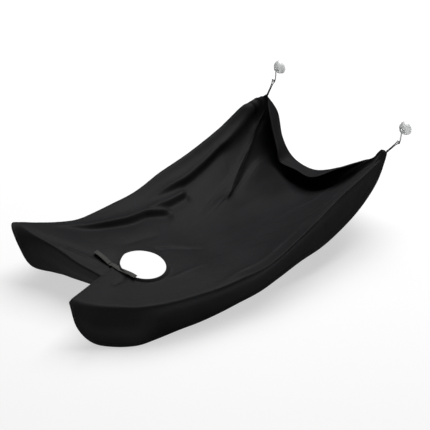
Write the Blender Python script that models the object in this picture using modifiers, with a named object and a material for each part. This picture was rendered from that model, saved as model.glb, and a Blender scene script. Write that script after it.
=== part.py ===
"""Beard-trimming apron: a draped cape with a neck opening, hung from a mirror by two suction-cup hooks.

Frame: metres, +Z up. The origin is the centre of the neck opening. +Y runs from the wearer to the
mirror, and +X is to the right for someone who looks along +Y. Left and right are meant that way.
The lengths below are millimetres, and each mesh is scaled to metres as it is made.
"""
import math

import bmesh
import bpy
from mathutils import Matrix, Vector
from mathutils.bvhtree import BVHTree

MM = 0.001
OBJECT_NAME = "beard_apron"
GAP = 0.4

# Cape: cut from one sheet, 800 wide and 1200 long, modelled as it hangs.
SHEET_THICKNESS = 1.6
COLUMN_STEPS = 2
COLUMN_ROWS = (2, 2, 1, 1, 1, 1, 2, 2)
INNER_PARTS = (0.3, 0.6, 0.82, 0.93, 0.985)
CURTAIN_BULGE = 8.0
CURTAIN_TUCK = 18.0

# The trough: along Y, the outer edges, the ridge's height and the floor's; across it, from the left
# ridge to the right one, the share of the depth in the middle of the length and at the mirror.
TROUGH_Y = (0, 140, 240, 315, 404, 500, 600, 695, 765, 836)
TROUGH_LEFT = (-318, -316, -314, -313, -311, -308, -301, -294, -282, -266)
TROUGH_RIGHT = (220, 252, 272, 272, 268, 264, 260, 257, 253, 250)
TROUGH_RIDGE = (0, 2, 9, 22, 42, 63, 90, 110, 126, 138)
TROUGH_FLOOR = (0, -8, -20, -30, -44, -60, -78, -94, -104, -110)
TROUGH_SHARE = (0.0, 0.05, 0.10, 0.14, 0.20, 0.30, 0.42, 0.52, 0.63, 0.72, 0.81, 0.90, 1.0)
DEPTH_MIDDLE = (0.0, 0.10, 0.20, 0.29, 0.43, 0.67, 0.92, 1.0, 0.92, 0.76, 0.54, 0.28, 0.0)
DEPTH_MIRROR = (0.0, 0.10, 0.30, 0.62, 0.90, 1.0, 0.99, 0.92, 0.80, 0.63, 0.44, 0.23, 0.0)
MIRROR_BLEND = (640.0, 830.0)

# Neck opening: an ellipse turned a little about +Z. The slit's edges overlap near its lowest side.
NECK_LONG = 84.0
NECK_SHORT = 68.0
NECK_TURN = -12.0
LEFT_LOBE_DROP = 6.0
BINDING_WIDTH = 9.0
BINDING_THICKNESS = 2.6
BINDING_STEPS = 52

# Closure: a strap with a free end that crosses the slit, its hook tape, and loop tape on the left lobe.
STRAP_WIDTH = 16.0
STRAP_THICKNESS = 1.2
STRAP_START_X = 34.0
SLIT_X = -78.0
STRAP_Y = -62.5
TAB_LENGTH = 63.0
TAB_RISE = 15.0
FOLD_HEIGHT = 1.0
TAPE_WIDTH = 14.0
TAPE_THICKNESS = 1.0
LAY_CLEARANCE = 0.8

# Hanging gear: equal cups on the mirror plane, each with a J hook on its knob and a cord loop.
MIRROR_Y = 885.0
CUP_PLACE = {"left": (-257.0, 226.0), "right": (276.0, 215.0)}
HOOK_ROLL = {"left": 3.0, "right": 6.0}
CORNER = {"left": (-260.0, 829.0, 145.0), "right": (250.0, 830.0, 143.0)}
CUP_RADIUS = 22.5
CUP_LIP = 1.4
DOME_HEIGHT = 18.0
KNOB_NECK_RADIUS = 4.2
KNOB_HEAD_RADIUS = 6.2
KNOB_TOP = 27.0
RING_SETBACK = 20.3
RING_INNER = 4.7
RING_OUTER = 8.4
RING_THICKNESS = 3.0
ARM_WIDTH = 6.0
ARM_THICKNESS = 2.6
ARM_DROP = 36.0
J_RADIUS = 7.2
J_TIP_RISE = 4.0
CORD_DIAMETER = 2.4
ROUND_STEPS = 32

# Stations of the cape, counterclockwise seen from above, from the slit's right edge to its left one.
# Each has the angle of its ring point, then the ridge where the cloth turns down, and the hem.
STATIONS = (
    (-130, (-2, -286, 27), (8, -307, 30)),
    (-120, (32, -266, 14), (33, -302, -52)),
    (-106, (62, -232, 3), (68, -270, -108)),
    (-88, (103, -194, 0), (122, -218, -121)),
    (-70, (140, -160, 0), (157, -172, -121)),
    (-52, (166, -115, 0), (178, -111, -117)),
    (-32, (196, -52, 0), (198, -46, -111)),
    (-12, (220, 12, 0), (219, 16, -106)),
    (8, (243, 80, 0), (234, 88, -102)),
    (26, (256, 158, 4), (243, 162, -99)),
    (40, (272, 232, 17), (254, 242, -94)),
    (50, (272, 315, 32), (262, 320, -78)),
    (58, (268, 404, 53), (274, 405, -53)),
    (64, (264, 500, 75), (286, 500, -40)),
    (70, (260, 600, 92), (277, 606, -17)),
    (75, (257, 695, 111), (268, 700, 12)),
    (79, (253, 765, 124), (262, 772, 60)),
    (82, (250, 814, 136), (255, 815, 116)),
    (85, (243, 829, 136), (240, 824, 126)),
    (88, (150, 834, 68), (148, 826, 60)),
    (92, (60, 836, 2), (54, 818, -5)),
    (97, (-40, 838, -54), (-15, 781, -48)),
    (101, (-105, 838, -62), (-85, 776, -46)),
    (105, (-160, 836, -38), (-150, 772, -42)),
    (109, (-194, 833, 16), (-162, 770, 2)),
    (112, (-214, 832, 98), (-186, 772, 68)),
    (114.5, (-250, 830, 137), (-226, 796, 122)),
    (117, (-266, 815, 140), (-262, 800, 134)),
    (121, (-288, 745, 141), (-293, 742, 98)),
    (126, (-297, 650, 103), (-306, 648, 35)),
    (131, (-305, 560, 65), (-317, 558, -15)),
    (137, (-311, 465, 33), (-326, 463, -50)),
    (144, (-313, 370, 12), (-334, 370, -72)),
    (152, (-310, 280, 0), (-336, 280, -80)),
    (162, (-313, 190, 6), (-343, 190, -76)),
    (174, (-316, 105, 6), (-353, 100, -66)),
    (186, (-322, 35, 6), (-367, 20, -45)),
    (197, (-340, -30, 18), (-382, -50, -15)),
    (207, (-362, -98, 38), (-391, -120, 25)),
    (216, (-376, -152, 54), (-391, -177, 57)),
    (225, (-325, -162, 48), (-340, -196, 8)),
    (234, (-262, -154, 38), (-318, -168, -70)),
    (242, (-200, -149, 27), (-292, -96, -119)),
    (250, (-135, -145, 16), (-225, -74, -121)),
    (256, (-80, -133, 5), (-152, -56, -121)),
    (262, (-32, -122, -8), (-92, -50, -121)),
)


# ---------------------------------------------------------------- scene, materials, objects

def clear_scene():
    for obj in list(bpy.data.objects):
        bpy.data.objects.remove(obj, do_unlink=True)


def new_collection(name):
    collection = bpy.data.collections.new(name)
    bpy.context.scene.collection.children.link(collection)
    return collection


def principled(name, colour, roughness, transmission=0.0):
    material = bpy.data.materials.new(name)
    material.use_nodes = True
    shader = material.node_tree.nodes["Principled BSDF"]
    shader.inputs["Base Color"].default_value = (*colour, 1.0)
    shader.inputs["Roughness"].default_value = roughness
    shader.inputs["Metallic"].default_value = 0.0
    shader.inputs["Transmission Weight"].default_value = transmission
    return material


def add_object(name, mesh, collection, material, origin=(0.0, 0.0, 0.0)):
    """Link a mesh given in millimetres about the world origin, with its own origin at a joint."""
    mesh.transform(Matrix.Scale(MM, 4) @ Matrix.Translation(-Vector(origin)))
    obj = bpy.data.objects.new(name, mesh)
    obj.location = Vector(origin) * MM
    mesh.materials.append(material)
    collection.objects.link(obj)
    return obj


def grid_mesh(name, columns):
    """Open surface through a list of columns of points, all of one length."""
    mesh = bpy.data.meshes.new(name)
    rows = len(columns[0])
    points = [point for column in columns for point in column]
    faces = []
    for i in range(len(columns) - 1):
        for j in range(rows - 1):
            corner = i * rows + j
            faces.append((corner, corner + 1, corner + rows + 1, corner + rows))
    mesh.from_pydata(points, [], faces)
    mesh.shade_smooth()
    return mesh


def thicken(obj, thickness):
    solidify = obj.modifiers.new("thickness", "SOLIDIFY")
    solidify.thickness = thickness * MM
    solidify.offset = 0.0
    return solidify


def evaluated_mesh(obj):
    depsgraph = bpy.context.evaluated_depsgraph_get()
    return bpy.data.meshes.new_from_object(obj.evaluated_get(depsgraph))


# ---------------------------------------------------------------- smooth lines

def spline_point(p0, p1, p2, p3, t):
    """Point at t, from 0 to 1, between p1 and p2 on a Catmull-Rom curve."""
    linear = (p2 - p0) * t
    square = (p0 * 2 - p1 * 5 + p2 * 4 - p3) * t ** 2
    cube = (p1 * 3 - p0 - p2 * 3 + p3) * t ** 3
    return (p1 * 2 + linear + square + cube) / 2


def smooth_line(points, steps):
    """Curve through the points. steps is the count between neighbours, or a count for each span."""
    spans = len(points) - 1
    counts = [steps] * spans if isinstance(steps, int) else steps
    ends = [points[0] * 2 - points[1]] + list(points) + [points[-1] * 2 - points[-2]]
    line = []
    for span, count in enumerate(counts):
        for step in range(count):
            line.append(spline_point(*ends[span:span + 4], step / count))
    line.append(points[-1])
    return line


# ---------------------------------------------------------------- cape

def neck_point(angle, outset):
    """Point of the neck ellipse, widened by outset. The left lobe's end dips under the right one's."""
    a = math.radians(angle)
    flat = Vector(((NECK_LONG + outset) * math.cos(a), (NECK_SHORT + outset) * math.sin(a), 0.0))
    flat.rotate(Matrix.Rotation(math.radians(NECK_TURN), 3, "Z"))
    dip = min(max((angle - 190.0) / 35.0, 0.0), 1.0)
    flat.z = -LEFT_LOBE_DROP * dip * dip * (3.0 - 2.0 * dip)
    return flat


def table_value(at, places, values):
    """Value between a table's entries, or its nearest end."""
    if at <= places[0]:
        return values[0]
    for low, high, a, b in zip(places, places[1:], values, values[1:]):
        if at <= high:
            return a + (b - a) * (at - low) / (high - low)
    return values[-1]


def smooth_share(value, low, high):
    t = min(max((value - low) / (high - low), 0.0), 1.0)
    return t * t * (3.0 - 2.0 * t)


def trough_height(x, y):
    """Height of the sagging cloth between the two ridges."""
    rows = (TROUGH_LEFT, TROUGH_RIGHT, TROUGH_RIDGE, TROUGH_FLOOR)
    left, right, ridge, floor = (table_value(y, TROUGH_Y, row) for row in rows)
    across = (x - left) / (right - left)
    middle = table_value(across, TROUGH_SHARE, DEPTH_MIDDLE)
    mirror = table_value(across, TROUGH_SHARE, DEPTH_MIRROR)
    share = middle + (mirror - middle) * smooth_share(y, *MIRROR_BLEND)
    return ridge - (ridge - floor) * share


def inner_point(ring, ridge, part):
    """Point between the neck and the ridge: level on the lobes, sagging in the trough."""
    point = ring.lerp(ridge, part)
    trough_share = min(max(point.y / 140.0, 0.0), 1.0)
    point.z += (trough_height(point.x, point.y) - point.z) * trough_share
    return point


def cape_column(angle, ridge, hem):
    """One line of points from the neck out over the ridge and down to the hem."""
    ring = neck_point(angle, BINDING_WIDTH / 2 + GAP)
    inner = [inner_point(ring, ridge, part) for part in INNER_PARTS]
    outward = Vector((ridge.x - ring.x, ridge.y - ring.y, 0.0)).normalized()
    tucked = smooth_share(angle, -75.0, -40.0) * (1.0 - smooth_share(angle, 76.0, 82.0))
    bulge = outward * (CURTAIN_BULGE - (CURTAIN_BULGE + CURTAIN_TUCK) * tucked)
    bulge *= min((ridge - hem).length / 100.0, 1.0)
    curtain = ridge.lerp(hem, 0.5) + bulge
    return smooth_line([ring, *inner, ridge, curtain, hem], COLUMN_ROWS)


def make_cape(collection, cloth):
    angles = [Vector((float(angle), 0.0, 0.0)) for angle, ridge, hem in STATIONS]
    ridges = [Vector(ridge) for angle, ridge, hem in STATIONS]
    hems = [Vector(hem) for angle, ridge, hem in STATIONS]
    lines = (smooth_line(line, COLUMN_STEPS) for line in (angles, ridges, hems))
    columns = [cape_column(angle.x, ridge, hem) for angle, ridge, hem in zip(*lines)]
    cape = add_object("cape_sheet", grid_mesh("cape_sheet", columns), collection, cloth)
    thicken(cape, SHEET_THICKNESS)
    return cape


def make_binding(collection, cloth):
    """Tape folded round the neck edge, as one band from lobe to lobe."""
    first = STATIONS[0][0] + 0.5
    last = STATIONS[-1][0] - 0.5
    columns = []
    for step in range(BINDING_STEPS + 1):
        angle = first + (last - first) * step / BINDING_STEPS
        inner = neck_point(angle, -BINDING_WIDTH / 2)
        outer = neck_point(angle, BINDING_WIDTH / 2)
        columns.append([inner, inner.lerp(outer, 0.5), outer])
    band = add_object("neck_binding", grid_mesh("neck_binding", columns), collection, cloth)
    thicken(band, BINDING_THICKNESS)
    return band


# ---------------------------------------------------------------- closure

def surface_height(trees, x, y):
    """Height in millimetres of the highest surface below a point well above the cape."""
    start = Vector((x, y, 60.0)) * MM
    hits = [tree.ray_cast(start, Vector((0.0, 0.0, -1.0)))[0] for tree in trees]
    return max((hit.z / MM for hit in hits if hit is not None), default=0.0)


def strip_mesh(name, centre_line, width):
    """Flat strip along X through the centre line, with its width along Y."""
    side = Vector((0.0, width / 2, 0.0))
    return grid_mesh(name, [[point - side, point, point + side] for point in centre_line])


def laid_line(trees, start_x, end_x, y, width, thickness):
    """Centre line of a strip that lies on the surfaces, clear of all of them across its width."""
    steps = 12
    line = []
    for step in range(steps + 1):
        x = start_x + (end_x - start_x) * step / steps
        reach = abs(end_x - start_x) / steps / 2
        probes = [(x + dx, y + dy) for dx in (-reach, 0, reach) for dy in (-width / 2, 0, width / 2)]
        top = max(surface_height(trees, *probe) for probe in probes)
        line.append(Vector((x, y, top + LAY_CLEARANCE + thickness / 2)))
    return line


def make_closure(collection, cape, band, cloth, hook_pile, loop_pile):
    cloth_tree = BVHTree.FromPolygons(*mesh_lists(cape))
    band_tree = BVHTree.FromPolygons(*mesh_lists(band))
    strap_line = laid_line(
        (cloth_tree, band_tree), STRAP_START_X, SLIT_X, STRAP_Y, STRAP_WIDTH, STRAP_THICKNESS)
    hinge = strap_line[-1] + Vector((-GAP / 2, 0.0, FOLD_HEIGHT))
    strap = add_object(
        "closure_strap", strip_mesh("closure_strap", strap_line, STRAP_WIDTH), collection, cloth)
    thicken(strap, STRAP_THICKNESS)

    tab_line = []
    for step in range(9):
        t = step / 8
        lift = TAB_RISE * math.sin(t * math.pi / 2)
        tab_line.append(strap_line[-1] + Vector((-GAP - TAB_LENGTH * t, 0.0, lift)))
    tab = add_object(
        "closure_tab", strip_mesh("closure_tab", tab_line, STRAP_WIDTH), collection, cloth, hinge)
    thicken(tab, STRAP_THICKNESS)

    below = Vector((0.0, 0.0, -(STRAP_THICKNESS + TAPE_THICKNESS) / 2 - GAP))
    tape_line = [point + below for point in tab_line[2:]]
    tape_line[-1] = tape_line[-1].lerp(tape_line[-2], 0.3)
    hook_tape = add_object(
        "hook_tape", strip_mesh("hook_tape", tape_line, TAPE_WIDTH), collection, hook_pile, hinge)
    thicken(hook_tape, TAPE_THICKNESS)

    loop_line = laid_line(
        (cloth_tree,), SLIT_X - 12.0, SLIT_X - TAB_LENGTH, STRAP_Y, TAPE_WIDTH, TAPE_THICKNESS)
    loop_tape = add_object(
        "loop_tape", strip_mesh("loop_tape", loop_line, TAPE_WIDTH), collection, loop_pile)
    thicken(loop_tape, TAPE_THICKNESS)


def mesh_lists(obj):
    """World vertices and faces of an object as the viewport shows it."""
    bpy.context.view_layer.update()
    mesh = evaluated_mesh(obj)
    mesh.transform(obj.matrix_world)
    lists = ([v.co.copy() for v in mesh.vertices], [tuple(p.vertices) for p in mesh.polygons])
    bpy.data.meshes.remove(mesh)
    return lists


# ---------------------------------------------------------------- cups and hooks

def cup_frame(side):
    """Millimetre matrix whose local +Z points from the mirror to the wearer, along the cup's axis."""
    x, z = CUP_PLACE[side]
    return Matrix.Translation((x, MIRROR_Y, z)) @ Matrix.Rotation(math.radians(90.0), 4, "X")


def hook_frame(side):
    """Millimetre matrix at the hook ring's centre, with local +Y along the cup's axis to the mirror."""
    x, z = CUP_PLACE[side]
    place = Matrix.Translation((x, MIRROR_Y - RING_SETBACK, z))
    return place @ Matrix.Rotation(math.radians(HOOK_ROLL[side]), 4, "Y")


def turned(name, profile, closed):
    """Profile of (radius, height) turned about local Z, as an evaluated mesh in millimetres."""
    mesh = bpy.data.meshes.new(name)
    edges = [(i, i + 1) for i in range(len(profile) - 1)]
    if closed:
        edges.append((len(profile) - 1, 0))
    mesh.from_pydata([(radius * MM, 0.0, height * MM) for radius, height in profile], edges, [])
    obj = bpy.data.objects.new(name, mesh)
    bpy.context.scene.collection.objects.link(obj)
    screw = obj.modifiers.new("turn", "SCREW")
    screw.axis = "Z"
    screw.steps = ROUND_STEPS
    screw.render_steps = ROUND_STEPS
    screw.use_merge_vertices = True
    screw.merge_threshold = 0.00005
    result = evaluated_mesh(obj)
    bpy.data.objects.remove(obj)
    bpy.data.meshes.remove(mesh)
    result.transform(Matrix.Scale(1 / MM, 4))
    return result


def cup_profile():
    """Outer side from the knob's top to the rim, the flat lip, then the hollow back to the axis."""
    outer = [(0.0, KNOB_TOP), (3.4, KNOB_TOP - 0.4), (5.5, KNOB_TOP - 1.6)]
    outer += [(KNOB_HEAD_RADIUS, KNOB_TOP - 3.2), (5.4, KNOB_TOP - 4.4)]
    outer += [(KNOB_NECK_RADIUS, KNOB_TOP - 4.8), (KNOB_NECK_RADIUS, DOME_HEIGHT)]
    outer += [(9.0, DOME_HEIGHT - 1.6), (13.2, DOME_HEIGHT - 5.0), (16.6, 8.4), (19.4, 4.6)]
    outer += [(21.6, 1.9), (CUP_RADIUS, 0.9), (CUP_RADIUS, 0.0)]
    hollow = [(CUP_RADIUS - CUP_LIP, 0.0), (18.6, 2.4), (15.0, 4.6), (10.0, 6.4), (5.0, 7.3), (0.0, 7.6)]
    return outer + hollow


def make_cup(side, collection, plastic):
    mesh = turned("cup", cup_profile(), closed=False)
    mesh.transform(cup_frame(side))
    ring_centre = hook_frame(side).translation
    cup = add_object(f"{side}_suction_cup", mesh, collection, plastic, ring_centre)
    cup.data.set_sharp_from_angle(angle=math.radians(40.0))
    return cup


def ring_mesh():
    """The hook's ring about local Y, with small chamfers."""
    half = RING_THICKNESS / 2
    cut = 0.5
    profile = [
        (RING_INNER + cut, half), (RING_OUTER - cut, half), (RING_OUTER, half - cut),
        (RING_OUTER, cut - half), (RING_OUTER - cut, -half), (RING_INNER + cut, -half),
        (RING_INNER, cut - half), (RING_INNER, half - cut),
    ]
    mesh = turned("ring", profile, closed=True)
    mesh.transform(Matrix.Rotation(math.radians(90.0), 4, "X"))
    return mesh


def arm_outline():
    """Outline in (y, z) of the arm and its J: down, round towards the wearer, and a little up."""
    half = ARM_THICKNESS / 2
    arc = [math.pi * step / 12 for step in range(13)]
    outer = [(half, -RING_OUTER + 2.0)]
    outer += [(-J_RADIUS + (J_RADIUS + half) * math.cos(a), -ARM_DROP - (J_RADIUS + half) * math.sin(a))
              for a in arc]
    tip_y = -2 * J_RADIUS
    tip_z = -ARM_DROP + J_TIP_RISE
    tip = [(tip_y + half * math.cos(a), tip_z + half * math.sin(a))
           for a in (math.pi * step / 4 for step in range(4, -1, -1))]
    inner = [(-J_RADIUS + (J_RADIUS - half) * math.cos(a), -ARM_DROP - (J_RADIUS - half) * math.sin(a))
             for a in reversed(arc)]
    inner.append((-half, -RING_OUTER + 2.0))
    return outer + tip + inner


def arm_mesh():
    curve = bpy.data.curves.new("arm", "CURVE")
    curve.dimensions = "2D"
    curve.fill_mode = "BOTH"
    curve.extrude = ARM_WIDTH / 2 * MM
    outline = arm_outline()
    spline = curve.splines.new("POLY")
    spline.points.add(len(outline) - 1)
    for point, (y, z) in zip(spline.points, outline):
        point.co = (y * MM, z * MM, 0.0, 1.0)
    spline.use_cyclic_u = True
    obj = bpy.data.objects.new("arm", curve)
    bpy.context.scene.collection.objects.link(obj)
    mesh = evaluated_mesh(obj)
    bpy.data.objects.remove(obj)
    bpy.data.curves.remove(curve)
    weld(mesh)
    axes = Matrix(((0, 0, 1, 0), (1, 0, 0, 0), (0, 1, 0, 0), (0, 0, 0, 1)))
    mesh.transform(axes @ Matrix.Scale(1 / MM, 4))
    return mesh


def weld(mesh):
    work = bmesh.new()
    work.from_mesh(mesh)
    bmesh.ops.remove_doubles(work, verts=work.verts, dist=0.00001)
    bmesh.ops.recalc_face_normals(work, faces=work.faces)
    work.to_mesh(mesh)
    work.free()


def joined(base, extra):
    """Boolean union of two closed millimetre meshes, as one mesh."""
    objects = []
    for mesh in (base, extra):
        mesh.transform(Matrix.Scale(MM, 4))
        obj = bpy.data.objects.new("union_part", mesh)
        bpy.context.scene.collection.objects.link(obj)
        objects.append(obj)
    union = objects[0].modifiers.new("union", "BOOLEAN")
    union.operation = "UNION"
    union.object = objects[1]
    result = evaluated_mesh(objects[0])
    for obj in objects:
        bpy.data.objects.remove(obj)
    result.transform(Matrix.Scale(1 / MM, 4))
    return result


def make_hook(side, collection, plastic):
    mesh = joined(ring_mesh(), arm_mesh())
    mesh.transform(hook_frame(side))
    hook = add_object(f"{side}_hook", mesh, collection, plastic, throat_point(side))
    hook.data.shade_smooth()
    hook.data.set_sharp_from_angle(angle=math.radians(35.0))
    return hook


def throat_point(side):
    """Where the cord's centre lies in the J, on the hook's swing axis."""
    rest = -ARM_DROP - J_RADIUS + ARM_THICKNESS / 2 + CORD_DIAMETER / 2 + GAP
    return hook_frame(side) @ Vector((0.0, -J_RADIUS, rest))


# ---------------------------------------------------------------- cord loops

def loop_route(side):
    """Both strands of a loop: from the corner up one side of the J, across its throat and back."""
    corner = Vector(CORNER[side])
    throat = throat_point(side)
    along = (throat - corner).normalized()
    across = hook_frame(side).to_3x3() @ Vector((1.0, 0.0, 0.0))
    level = (along - across * along.dot(across)).normalized()
    beside = ARM_WIDTH / 2 + CORD_DIAMETER / 2 + 1.2
    strand = (
        (corner + along * 4.0, 1.5), (corner.lerp(throat, 0.35), 2.6), (corner.lerp(throat, 0.75), beside - 0.8),
        (throat - level * 4.5, beside + 0.3), (throat - level * 0.9, beside - 0.6),
        (throat, ARM_WIDTH / 2 - 0.6),
    )
    up = [place + across * offset for place, offset in strand]
    down = [place - across * offset for place, offset in reversed(strand)]
    return smooth_line(up + down, (2, 2, 2, 3, 3, 2, 3, 3, 2, 2, 2))


def make_loop(side, collection, cord_material):
    route = loop_route(side)
    origin = Vector(CORNER[side])
    curve = bpy.data.curves.new(f"{side}_cord_loop", "CURVE")
    curve.dimensions = "3D"
    curve.bevel_depth = CORD_DIAMETER / 2 * MM
    curve.bevel_resolution = 2
    curve.use_fill_caps = True
    spline = curve.splines.new("POLY")
    spline.points.add(len(route) - 1)
    for point, place in zip(spline.points, route):
        point.co = (*((place - origin) * MM), 1.0)
    curve.materials.append(cord_material)
    loop = bpy.data.objects.new(f"{side}_cord_loop", curve)
    loop.location = origin * MM
    collection.objects.link(loop)


# ---------------------------------------------------------------- assembly

def main():
    clear_scene()
    parts = new_collection(OBJECT_NAME)
    cloth = principled("black_polyester", (0.018, 0.018, 0.02), 0.42)
    binding = principled("black_binding_tape", (0.014, 0.014, 0.015), 0.6)
    webbing = principled("charcoal_strap", (0.05, 0.05, 0.052), 0.65)
    hook_pile = principled("hook_tape_pile", (0.02, 0.02, 0.02), 0.8)
    loop_pile = principled("loop_tape_pile", (0.025, 0.025, 0.025), 0.95)
    elastic = principled("black_cord", (0.012, 0.012, 0.012), 0.7)
    hook_plastic = principled("clear_hook_plastic", (0.95, 0.97, 0.97), 0.08, 0.9)
    cup_plastic = principled("clear_cup_vinyl", (0.94, 0.96, 0.96), 0.12, 0.9)

    cape = make_cape(parts, cloth)
    band = make_binding(parts, binding)
    make_closure(parts, cape, band, webbing, hook_pile, loop_pile)
    for side in ("left", "right"):
        make_loop(side, parts, elastic)
        make_hook(side, parts, hook_plastic)
        make_cup(side, parts, cup_plastic)


main()
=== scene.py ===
"""Looks of the beard-trimming apron: draped satin cape, bindings, strap, cord loops, hooks and cups.

The row frame: +Y runs from the wearer to the mirror, +X is to the right of someone who looks along
+Y, +Z is up, and the origin is the centre of the neck opening. Lengths are metres, or millimetres
where a comment says so, and angles are degrees.
"""
import math

import bmesh
import bpy
import numpy as np
from mathutils import Matrix, Vector
from mathutils.bvhtree import BVHTree
from mathutils.geometry import delaunay_2d_cdt


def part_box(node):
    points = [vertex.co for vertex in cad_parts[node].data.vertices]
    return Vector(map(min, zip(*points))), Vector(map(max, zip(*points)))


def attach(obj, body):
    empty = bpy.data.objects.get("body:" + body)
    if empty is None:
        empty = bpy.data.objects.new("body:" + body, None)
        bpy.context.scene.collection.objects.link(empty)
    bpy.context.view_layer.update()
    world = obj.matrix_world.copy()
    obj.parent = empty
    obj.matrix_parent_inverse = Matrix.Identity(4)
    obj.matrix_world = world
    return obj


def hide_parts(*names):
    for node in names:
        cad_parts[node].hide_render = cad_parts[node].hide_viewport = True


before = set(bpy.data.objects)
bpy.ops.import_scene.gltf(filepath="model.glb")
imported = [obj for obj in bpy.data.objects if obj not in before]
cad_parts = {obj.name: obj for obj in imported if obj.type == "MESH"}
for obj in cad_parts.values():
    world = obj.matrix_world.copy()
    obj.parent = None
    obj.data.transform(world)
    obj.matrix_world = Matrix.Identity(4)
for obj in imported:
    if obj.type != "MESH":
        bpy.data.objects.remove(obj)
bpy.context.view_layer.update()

MM = 0.001

# Camera, floor and light. The floor glows fully round HOLE_VIEW, which the camera sees through the
# neck hole, as a painted pool of light over the cape's shadow there, and by FLOOR_GLOW elsewhere.
CAMERA_AZIMUTH = 44.0
CAMERA_ELEVATION = 33.5
CAMERA_DISTANCE = 6.0
CAMERA_TARGET = (0.0967, 0.2108, 0.1276)
CAMERA_LENS = 167.4
GROUND_Z = -0.1235
KEY_PLACE = (-0.9, 2.2, 4.1)
KEY_TARGET = (0.0, 0.3, 0.0)
KEY_SIZE = (4.0, 4.0)
KEY_POWER = 225.0
FLOOR_HALF_WIDTH = 12.0
FLOOR_GREY = 0.55
FLOOR_GLOW = 0.57
HOLE_VIEW = (-0.13, 0.134, 0.0)
FULL_GLOW_RADIUS = 0.12
OUTER_GLOW_RADIUS = 0.18

# The sky's brightness grows between two heights: 0 is the horizon and 1 is overhead.
SKY_LOW, SKY_HIGH = 0.12, 0.75
SKY_DIM, SKY_BRIGHT = 0.14, 1.0

# The cut of the cape: a rectangle with rounded corners, a round neck hole and a slit towards -Y.
CUT_HALF_WIDTH = 0.40
CUT_NEAR_Y = -0.340
CUT_FAR_Y = 0.860
CUT_NEAR_RADIUS = 0.250
CUT_FAR_RADIUS = 0.030
CUT_HOLE_RADIUS = 0.083
SLIT_HALF_GAP = 0.0008
LATTICE = 0.008
SHEET_THICKNESS = 0.0006

# Shares of LATTICE: spacing along the outline and the slit, and the inner points' clearance.
EDGE_SPACING, SLIT_SPACING, EDGE_CLEARANCE = 0.8, 0.9, 0.42

# The cloth's settling: steps, rounds of its springs in each, metres that it falls in a step, the
# share of its speed that it keeps, its gap to the floor, and the rounds of smoothing afterwards.
SETTLE_STEPS = 60
SPRING_ROUNDS = 6
FALL = 0.0002
KEPT_SPEED = 0.93
STRETCH_STIFFNESS, SHEAR_STIFFNESS, BEND_STIFFNESS = 1.0, 0.35, 0.04
STRAIGHT_COSINE = -0.92
FLOOR_GAP = 0.002
COARSE_EVENING = 5
FINE_EVENING = 4
EVENING_SHARES = (0.6, -0.5)

# How firmly the cloth is held to its start shape while it settles, from 0 to 1: everywhere, on the
# lobes, beyond the ridge, at the ridge and at the hem, and how much more along the mirror.
HOLD_ALL, HOLD_LOBE, HOLD_BEYOND = 0.004, 0.02, 0.03
HOLD_RIDGE, HOLD_HEM, HOLD_MIRROR = 0.35, 0.25, 0.4
RIDGE_REACH, HEM_REACH, NECK_REACH, CORNER_REACH = 0.010, 0.008, 0.004, 0.03
MIRROR_STARTS, MIRROR_ENDS = (82.0, 86.0), (119.0, 124.0)
BEYOND_RIDGE = (-0.06, -0.01)
LOBE_ENDS = (0.02, 0.22)

# How far the cloth's lengths may follow the flat cut's, and how much less on lobes and curtains.
FREEDOM, FREEDOM_LOSS = 0.05, 0.03

# The neck opening as it hangs: an ellipse turned about +Z, in millimetres.
NECK_LONG = 84.0
NECK_SHORT = 68.0
NECK_TURN = -12.0
LEFT_LOBE_DROP = 6.0
DROP_ANGLES = (190.0, 225.0)
BINDING_WIDTH = 9.0

# Hem, neck tape, strap and tapes. The strap rises over STRAP_RAMP, two distances from its far end.
HEM_WIDTH = 0.010
HEM_STEP = 0.005
HEM_SEAM_INSET = 0.002
HEM_THREAD_LIFT = 0.0006
HEM_FOLD_DEPTH = 0.0005
NECK_TAPE_WIDTH = 0.0120
NECK_TAPE_HALF_THICKNESS = 0.0011
NECK_TILT = 42.0
NECK_RISE = 0.0026
NECK_OUTSET = 0.0012
NECK_PUCKER = 0.035
STRAP_WIDTH = 0.016
STRAP_THICKNESS = 0.0012
STRAP_LIFT = 0.0055
STRAP_RAMP = (0.062, 0.042)
SEAM_INSET = 0.0018
HINGE_GAP = 0.0008
TAPE_WIDTH = 0.014
TAPE_THICKNESS = 0.0010
TAPE_SEAM_INSET = 0.0014

# Hooks, cords and cups, in millimetres, as in the frame's parts.
HOOK_ROLL = {"left": 3.0, "right": 6.0}
CORNER = {"left": (-260.0, 829.0, 145.0), "right": (250.0, 830.0, 143.0)}
RING_SETBACK = 20.3
RING_INNER = 4.7
RING_OUTER = 8.4
RING_THICKNESS = 3.0
ARM_WIDTH = 4.4
ARM_THICKNESS = 2.6
ARM_DROP = 36.0
J_RADIUS = 7.2
J_TIP_RISE = 4.0
CORD_DIAMETER = 3.0
CORD_GAP = 1.1
RING_STEPS = 64
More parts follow.
